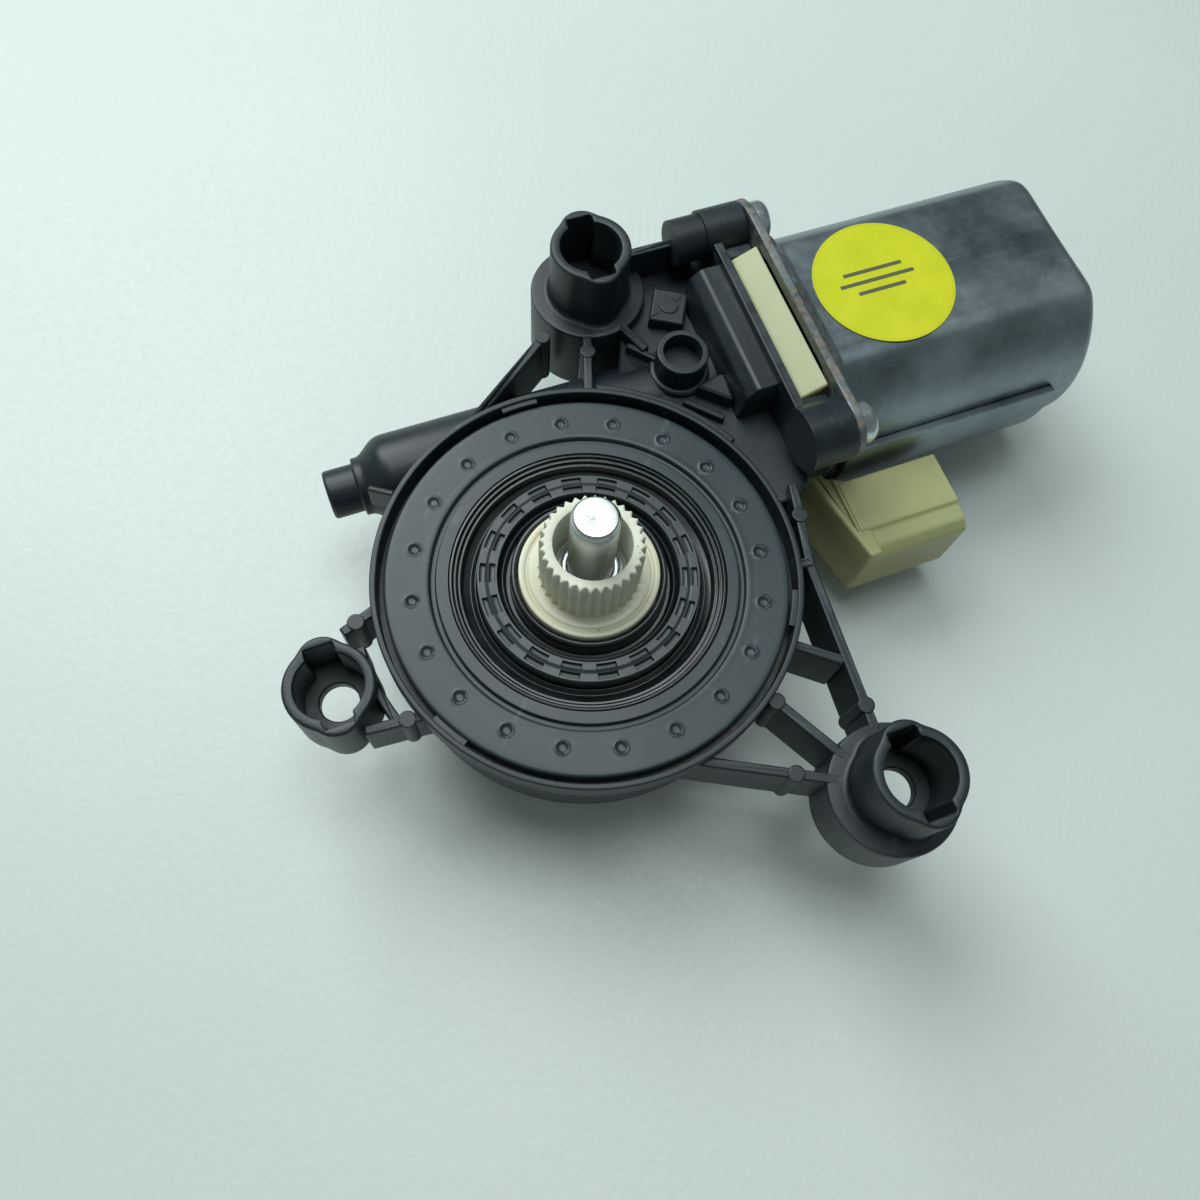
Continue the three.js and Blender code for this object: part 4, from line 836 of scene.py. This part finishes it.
def drumFace(count=18 * 40):
    # Height falls into a slot where both its row and its turn say so; the two rows stand half a slot apart.
    angle = turns(count)
    inner, outer = wheel["drumIn"], wheel["drumOut"]
    fine = lambda middle: [middle - 0.06, middle + 0.06]
    rows = (inner + 0.95, outer - 0.95)
    radius = np.unique(np.concatenate([[inner + 0.12, outer - 0.12, (inner + outer) / 2]]
                                      + [fine(row + side * 0.47) for row in rows for side in (-1, 1)]
                                      + [[row - 0.2, row + 0.2] for row in rows]))
    share = (angle * wheel["slots"] / allRounds + 0.5) % 1 - 0.5
    sunk = np.zeros((len(radius), count))
    for row in rows:
        halfLong = 1.75 / (row * allRounds / wheel["slots"])
        across = np.clip((0.5 - np.abs(radius - row)) / 0.1, 0, 1)
        along = np.clip((halfLong - np.abs(share)) / 0.015, 0, 1)
        sunk = np.maximum(sunk, across[:, None] * along[None])
    groove = 0.22 * np.exp(-((radius - (inner + outer) / 2) / 0.12) ** 2)
    height = drumTop - wheel["slotDeep"] * sunk - groove[:, None]
    face = polarFace(radius, angle, height)
    outside = polarRows([outer, outer, outer - 0.2],
                        [drumTop - 0.14, wheel["drumLow"] + 0.2, wheel["drumLow"]], count)
    inside = polarRows([wheel["boreR"], wheel["boreR"], inner, inner],
                       [wheel["drumLow"], wheel["floorTop"], wheel["floorTop"], drumTop - 0.14], count)
    return np.concatenate([face, outside, inside]), True


def vane(start, stop, degrees):
    # A driving bar turned about Z: new x is x cosine less y sine, new y is x sine plus y cosine.
    high = drumTop - wheel["vaneDrop"]
    bar = box((start, stop), (-wheel["vaneHalf"], wheel["vaneHalf"]), (wheel["vaneLow"], high), 0.3, 0.3)
    x, y, turn = bar[..., 0].copy(), bar[..., 1].copy(), math.radians(degrees)
    bar[..., 0] = x * math.cos(turn) - y * math.sin(turn)
    bar[..., 1] = x * math.sin(turn) + y * math.cos(turn)
    return bar


def makeWheel():
    webIn, webOut = wheel["drumOut"] - 0.5, wheel["ringInner"] + 0.5
    web = polarRows([webIn, webOut, webOut, webIn],
                    [wheel["webLow"], wheel["webLow"], wheel["webHigh"], wheel["webHigh"]], 144)
    solids = [drumFace(), toothedRing(), (web, True)]
    solids += [vane(wheel["stopIn"], wheel["drumIn"] + 0.3, 60 + 120 * i) for i in range(3)]
    piece = built("wormWheel", solids)
    return finish(piece, "output", finishes["drum"], ["worm_wheel"])


# Drive hub: a flange with a raised edge, 32 pointed teeth with rounded roots, and a cup round the pin.
hub = {"teeth": 32, "toothR": 8.8, "rootR": 8.02, "flangeR": 12.3, "flangeThick": 2.7, "cupR": 6.5,
       "cupRise": 0.9, "bodyR": 7.2, "low": 7.4}


def makeHub():
    count = hub["teeth"] * 16
    angle = turns(count)
    phase = ((angle - math.pi / 2) * hub["teeth"] / allRounds) % 1
    wave = np.clip(np.abs(2 * phase - 1) ** 1.25 * 1.12 - 0.02, 0, 1)
    deep = hub["toothR"] - hub["rootR"]
    flange = hub["flangeR"]
    low = flangeTop - hub["flangeThick"]
    cupFloor = flangeTop + hub["cupRise"]
    bore = pinRadius + 0.1

    def spline(share, grow=0.0):
        return hub["rootR"] + grow + deep * wave * share

    rows = [(bore, hub["low"]), (hub["bodyR"] - 0.3, hub["low"]), (hub["bodyR"], hub["low"] + 0.3),
            (hub["bodyR"], low), (flange - 0.3, low), (flange, low + 0.3), (flange, flangeTop - 0.35),
            (flange - 0.1, flangeTop - 0.1), (flange - 0.35, flangeTop), (flange - 0.9, flangeTop),
            (flange - 1.12, flangeTop - 0.12), (flange - 1.25, flangeTop - 0.34),
            (flange - 1.5, flangeTop - 0.36), (flange - 1.7, flangeTop - 0.1),
            (flange - 1.95, flangeTop - 0.02), (9.5, flangeTop - 0.06), (spline(0.9, 0.35), flangeTop),
            (spline(1.0, 0.08), flangeTop + 0.35), (spline(1.0), flangeTop + 0.9),
            (spline(1.0), hubTop - 0.7), (spline(0.92, -0.03), hubTop - 0.25),
            (spline(0.7, -0.14), hubTop - 0.04), (spline(0.5, -0.28), hubTop),
            (hub["cupR"] + 0.45, hubTop), (hub["cupR"] + 0.15, hubTop - 0.12), (hub["cupR"], hubTop - 0.45),
            (hub["cupR"], cupFloor + 0.5), (hub["cupR"] - 0.4, cupFloor), (bore, cupFloor)]
    piece = meshObject("driveHub", pairRows(rows, count), True)
    vanes = [meshObject("vane", vane(hub["bodyR"] - 1, wheel["drumIn"] - 0.3, 120 * i)) for i in range(3)]
    carve(piece, vanes, "UNION")
    return finish(piece, "output", finishes["hub"], ["drive_hub"], 42)


# Output pin: ground bar with a turned chamfer, and the spring ring round its foot.
def makePin():
    pin = latheSolid([[pinRadius, pinLow], [pinRadius, pinTop - 0.9], [pinRadius - 0.55, pinTop]],
                     [0.1, 0.2, 0.15, 0.2, 0.1], 128)
    finish(meshObject("outputPin", pin), "housing", finishes["pin"], ["output_pin"], 30)
    low, high = boxOf("pin_clip")
    outer = high[0]
    points, faces = lathe([[pinRadius + 0.1, low[2]], [outer, low[2]], [outer, high[2] - 0.35],
                           [outer - 0.7, high[2] - 0.3], [outer - 0.9, high[2]],
                           [pinRadius + 0.1, high[2]]], 0.14, 128)
    finish(objectOf("pinClip", points, faces), "housing", finishes["zinc"], ["pin_clip"], 40)


makeCover()
makeSeals()
makeWheel()
makeHub()
makePin()
print("cover, seals, wheel, hub and pin made")

# Motor can: a deep-drawn round shell with two flats, a domed bearing seat and a flat flange with two lugs.
can = {"radius": 24.4, "flat": 20, "wall": 1.7, "domeR": 9, "domeHigh": 6.5, "crease": 46, "fillet": 2.0}
flange = {"thick": 1.7, "radius": 25.6, "up": 20.6, "down": 22.6, "lugOut": 24.4, "lugUp": 15,
          "lugR": (5.8, 5.0)}


def canRadius(count, grow=0.0):
    # Radius by angle: the circle or the flat, whichever is nearer, blended by a high power at the creases.
    angle = turns(count)
    flat = (can["flat"] + grow) / np.maximum(np.abs(np.sin(angle)), 1e-6)
    power = -can["crease"]
    return ((can["radius"] + grow) ** power + flat ** power) ** (1 / power)


def flangeRadius(count):
    # Radius by angle: a circle cut above and below, with a bridge and a lug on each side.
    angle = turns(count)
    side, up = np.cos(angle), np.sin(angle)
    reach = np.full(count, float(flange["radius"]))
    reach = np.minimum(reach, flange["up"] / np.maximum(up, 1e-6))
    reach = np.minimum(reach, flange["down"] / np.maximum(-up, 1e-6))
    bridge = np.minimum(flange["lugOut"] / np.maximum(np.abs(side), 1e-6),
                        flange["up"] / np.maximum(up, 1e-6))
    reach = np.maximum(reach, np.where(up > 0, bridge, 0))
    for i, sign in enumerate((-1, 1)):
        along = sign * flange["lugOut"] * side + flange["lugUp"] * up
        off = flange["lugOut"] ** 2 + flange["lugUp"] ** 2 - along ** 2
        room = flange["lugR"][i] ** 2 - off
        lug = np.where((room > 0) & (along > 0), along + np.sqrt(np.maximum(room, 0)), 0)
        reach = np.maximum(reach, lug)
    kernel = np.array([1, 2, 3, 2, 1]) / 9
    padded = np.concatenate([reach[-2:], reach, reach[:2]])
    return np.convolve(padded, kernel, "valid")


def makeCan():
    count = 288
    end, dome = canEnd - can["domeHigh"], canEnd
    outer, inner = canRadius(count), canRadius(count, -can["wall"])
    fillet = can["fillet"]
    turn = np.linspace(0, math.pi / 2, 6)
    rows = [(outer + fillet * (1 - math.sin(t)), canStart - 0.1 + fillet * (1 - math.cos(t))) for t in turn]
    rows += [(outer, canStart + 12), (outer, canStart + 30)]
    rows += [(outer - 2.6 * (1 - math.cos(t)), end - 2.6 * (1 - math.sin(t))) for t in turn]
    rows += [(can["domeR"] + 1.5, end), (can["domeR"] + 0.45, end + 0.3), (can["domeR"], end + 1.3),
             (can["domeR"], dome - 1.3), (can["domeR"] - 0.35, dome - 0.4), (can["domeR"] - 1.3, dome),
             (1.4, dome), (1.0, dome - 0.25), (0.05, dome - 0.25)]
    back = [(0.05, dome - can["wall"]), (can["domeR"] - can["wall"], dome - can["wall"]),
            (can["domeR"] - can["wall"], end - can["wall"]), (inner - 1.5, end - can["wall"]),
            (inner, end - can["wall"] - 1.5), (inner, canStart - 0.1)]
    shell = alongX(pairRows(rows + back, count))
    plateOut = flangeRadius(count)
    low, high = canStart - flange["thick"], canStart
    plate = [(inner, low), (plateOut - 0.25, low), (plateOut, low + 0.25), (plateOut, high - 0.35),
             (plateOut - 0.12, high - 0.1), (plateOut - 0.35, high), (inner, high)]
    plateSolid = alongX(pairRows(plate, count))
    holes = [alongX(disc(side * flange["lugOut"], flange["lugUp"], 2.3, low - 2, high + 2, 0.1, 32))
             for side in (-1, 1)]
    piece = built("motorCan", [(shell, True), (plateSolid, True)], holes)
    return finish(piece, "housing", finishes["can"], ["motor_can"], 32)


def makeFluxRing():
    # A sheet bent round the underside of the can, from one edge just above the shaft line to the other.
    low, high = boxOf("flux_ring")
    count = 160
    whole = turns(1440)
    inner, outer = canRadius(1440, 0.12), canRadius(1440, 1.7)
    openAt = math.asin(5 / 25.5)
    angle = np.linspace(math.pi - openAt, allRounds + openAt, count)
    inside, outside = (np.interp(angle % allRounds, whole, r, period=allRounds) for r in (inner, outer))
    out = np.stack([outside * np.cos(angle), outside * np.sin(angle)], 1)
    back = np.stack([inside * np.cos(angle), inside * np.sin(angle)], 1)[::-1]
    sheet = slab(np.concatenate([out, back]), low[0], high[0], 0.25, 0.25, 0.15, 4)
    piece = meshObject("fluxRing", alongX(sheet))
    return finish(piece, "housing", finishes["sheet"], ["flux_ring"], 40)


def makeFlangeScrews():
    # Pan head: a rounded cylinder with a six-lobed recess, on a plain shank.
    start, high = canStart + 0.1, canStart + 3.7
    angle = turns(96)
    star = 1.75 * (1 + 0.13 * np.cos(6 * angle))
    for name, side in (("Near", -1), ("Far", 1)):
        rows = [(0.05, end["right"] - 7.4), (1.9, end["right"] - 7.4), (1.9, start), (3.95, start),
                (4.1, start + 0.15), (4.1, high - 1.5), (4.0, high - 0.9), (3.75, high - 0.4),
                (3.3, high - 0.1), (2.7, high),
                (star + 0.1, high), (star, high - 0.15), (star * 0.94, high - 1.8), (0.05, high - 2.0)]
        points = pairRows(rows, len(angle)) + np.array([side * flange["lugOut"], flange["lugUp"], 0])
        piece = meshObject("flangeScrew" + name, alongX(points))
        finish(piece, "housing", finishes["zinc"], ["flange_screw_" + name.lower()], 38)


makeCan()
makeFluxRing()
makeFlangeScrews()
print("motor can, ring and screws made")

# Brush card: a plate in the frame's window, an arm, the connector, and the brush guides inside the can.
card = {"left": 47.7, "top": 28.5, "bore": 9, "armLeft": 50.2, "armRight": 57.4, "wall": 1.6, "floor": 62,
        "socketStart": 55, "guideEnd": 65.2, "guideHalf": 4.2}


def across(side, first, second):
    # Two distances from the shaft line to one side of it, as places along Y in rising order.
    return tuple(sorted((shaftY + side * first, shaftY + side * second)))


def makeBrushCard():
    # The window's plate, the arm and the socket joined with the brush guides, less the hollows.
    low, high = boxOf("brush_card")
    right = end["right"] - 0.3
    near, far = end["near"] + end["side"] + 0.3, end["far"] - end["side"] - 0.3
    zLow, zHigh = low[2], 13.0
    yLow, yHigh = low[1], 6.8
    solids = [box((card["left"], right), (near, far), (zLow, card["top"]), 0.5, 0.6)]
    arm = [[card["armLeft"], near + 1], [card["armLeft"], 9.5], [card["socketStart"] - 0.2, yLow],
           [card["armRight"], yLow], [card["armRight"], yHigh], [right, 9], [right, near + 1]]
    solids.append(slab(arm, zLow, zHigh - 0.3, 0.6, 0.4, 0.8))
    mouth = [[yLow, zLow], [yHigh, zLow], [yHigh, zHigh], [yLow + 5.6, zHigh], [yLow + 5.1, zHigh - 0.7],
             [yLow + 1.9, zHigh - 0.9], [yLow, zHigh - 2.6]]
    connector = slab(mouth, card["socketStart"], high[0], 0.3, 0.5, 0.6)
    solids.append(connector[..., [2, 0, 1]])
    window = [[card["left"], 20], [card["left"], card["top"] - 0.3], [card["left"] + 0.8, card["top"] + 0.3],
              [right, card["top"] + 2.6], [right, 20]]
    solids.append(slab(window, near, far, 0.5, 0.5, 0.4)[..., [0, 2, 1]])
    guideEnd, guideUp = card["guideEnd"], (shaftZ - card["guideHalf"], shaftZ + card["guideHalf"])
    for side in (-1, 1):
        solids.append(box((right - 1, guideEnd), across(side, 8.1, 16.5), guideUp))
        solids.append(box((right + 0.6, guideEnd), across(side, 15.5, 21), guideUp))
    cuts = [box((card["floor"], high[0] + 3), (yLow + card["wall"], yHigh - card["wall"]),
                (zLow + card["wall"], zHigh - card["wall"]), 0.4, 0.4),
            alongX(disc(0, 0, card["bore"], 40, 60, 0.1, 96))]
    for side in (-1, 1):
        cuts.append(box((57.2, 63.8), across(side, 7.1, 19.6), (shaftZ - 2.8, shaftZ + 2.8), 0.1, 0.1))
    recess = [[51.5, 9.6], [54.6, -4.5], [54.6, 12.5], [51.5, 13.5]]
    cuts.append(slab(recess, zHigh - 1.1, zHigh + 2, 0.1, 0.3, 0.4))
    for terminal in ("terminal_1", "terminal_2"):
        bottom, top = boxOf(terminal)
        cuts.append(box((bottom[0] - 0.3, card["floor"] + 1), (bottom[1] - 0.3, top[1] + 0.3),
                        (bottom[2] - 0.3, top[2] + 0.3), 0.05, 0.05))
    piece = built("brushCard", solids, cuts)
    return finish(piece, "housing", finishes["natural"], ["brush_card"])


def makeTerminals():
    # Flat blades with all four long edges and the tip narrowed.
    for i in (1, 2):
        low, high = boxOf("terminal_" + str(i))
        middle = (low + high) / 2
        half = (high - low) / 2
        turn = turns(24)
        shape = lambda v: np.sign(v) * np.abs(v) ** 0.35
        loop = np.stack([half[1] * shape(np.cos(turn)), half[2] * shape(np.sin(turn))], 1)
        stations = np.array([low[0], high[0] - 1.6, high[0] - 0.5, high[0]])
        size = np.array([1, 1, 0.82, 0.5])
        flat = loop[None] * size[:, None, None] + middle[1:]
        points = np.concatenate([np.broadcast_to(stations[:, None, None], flat.shape[:2] + (1,)), flat], -1)
        finish(meshObject("terminal" + str(i), points), "housing", finishes["zinc"], ["terminal_" + str(i)])


def makeLabel():
    low, high = boxOf("label")
    middle = (low + high) / 2
    radius = (high[0] - low[0]) / 2
    loop = latheSolid([[radius, low[2]], [radius, high[2]]], 0.06, 144)
    piece = meshObject("roundLabel", loop + np.array([middle[0], middle[1], 0]))
    film = labelFilm("yellowFilm", middle, radius)
    return finish(piece, "housing", film, ["label"])


makeBrushCard()
makeTerminals()
makeLabel()
print("brush card, terminals and label made")

# The inner pieces keep their own shapes and get their finishes.
inside = {
    "damper": "rubber", "worm_shaft": "steel", "armature_core": "core", "winding": "copper", "commutator": "copper",
    "sensor_magnet": "magnet", "magnet_far": "magnet", "magnet_near": "magnet", "tube_bush": "bronze",
    "middle_bush": "bronze", "can_bush": "bronze", "tube_thrust_pad": "natural", "can_thrust_pad": "natural",
    "brush_near": "carbon", "brush_far": "carbon", "brush_spring_near": "steel", "brush_spring_far": "steel",
    "choke_near": "magnet", "choke_far": "magnet",
}
for name, finishName in inside.items():
    nodes[name].data.materials.clear()
    nodes[name].data.materials.append(finishes[finishName])

# A pale table under the lowest piece, a broad window behind, and a soft fill.
room = {"tableSide": 6.0, "window": (-0.15, 0.6, 0.7), "windowSide": 0.6, "windowPower": 6.2,
        "lamp": (0.1, 0.13, 0.95), "lampSide": 0.4, "lampPower": 2.6, "sky": (0.8, 0.94, 0.93), "skyPower": 0.2}


def makeLight(name, place, side, power):
    data = bpy.data.lights.new(name, "AREA")
    data.size = side
    data.energy = power
    data.color = (0.93, 1.0, 0.985)
    light = bpy.data.objects.new(name, data)
    target = np.array([0.02, 0.0, 0.01])
    back = np.array(place) - target
    light.matrix_world = Matrix.Translation(place) @ Matrix(aimed(back)).to_4x4()
    bpy.context.scene.collection.objects.link(light)


def aimed(back):
    # Rotation whose local Z looks back along the given direction.
    z = back / np.linalg.norm(back)
    x = np.cross([0, 0, 1], z)
    x = x / np.linalg.norm(x)
    return np.stack([x, np.cross(z, x), z], 1).tolist()


def makeRoom():
    half = room["tableSide"] / 2
    level = cadLow[2] - 0.0001
    corners = [[-half, -half, level], [half, -half, level], [half, half, level], [-half, half, level]]
    mesh = bpy.data.meshes.new("table")
    mesh.from_pydata(corners, [], [[0, 1, 2, 3]])
    mesh.materials.append(tableTop("paleLaminate"))
    table = bpy.data.objects.new("table", mesh)
    bpy.context.scene.collection.objects.link(table)
    makeLight("window", room["window"], room["windowSide"], room["windowPower"])
    makeLight("lamp", room["lamp"], room["lampSide"], room["lampPower"])
    world = bpy.data.worlds.new("sky")
    world.use_nodes = True
    world.node_tree.nodes["Background"].inputs["Color"].default_value = (*room["sky"], 1)
    world.node_tree.nodes["Background"].inputs["Strength"].default_value = room["skyPower"]
    bpy.context.scene.world = world
    bpy.context.scene.view_settings.view_transform = "Standard"


makeRoom()
print("room made")

bpy.context.view_layer.update()
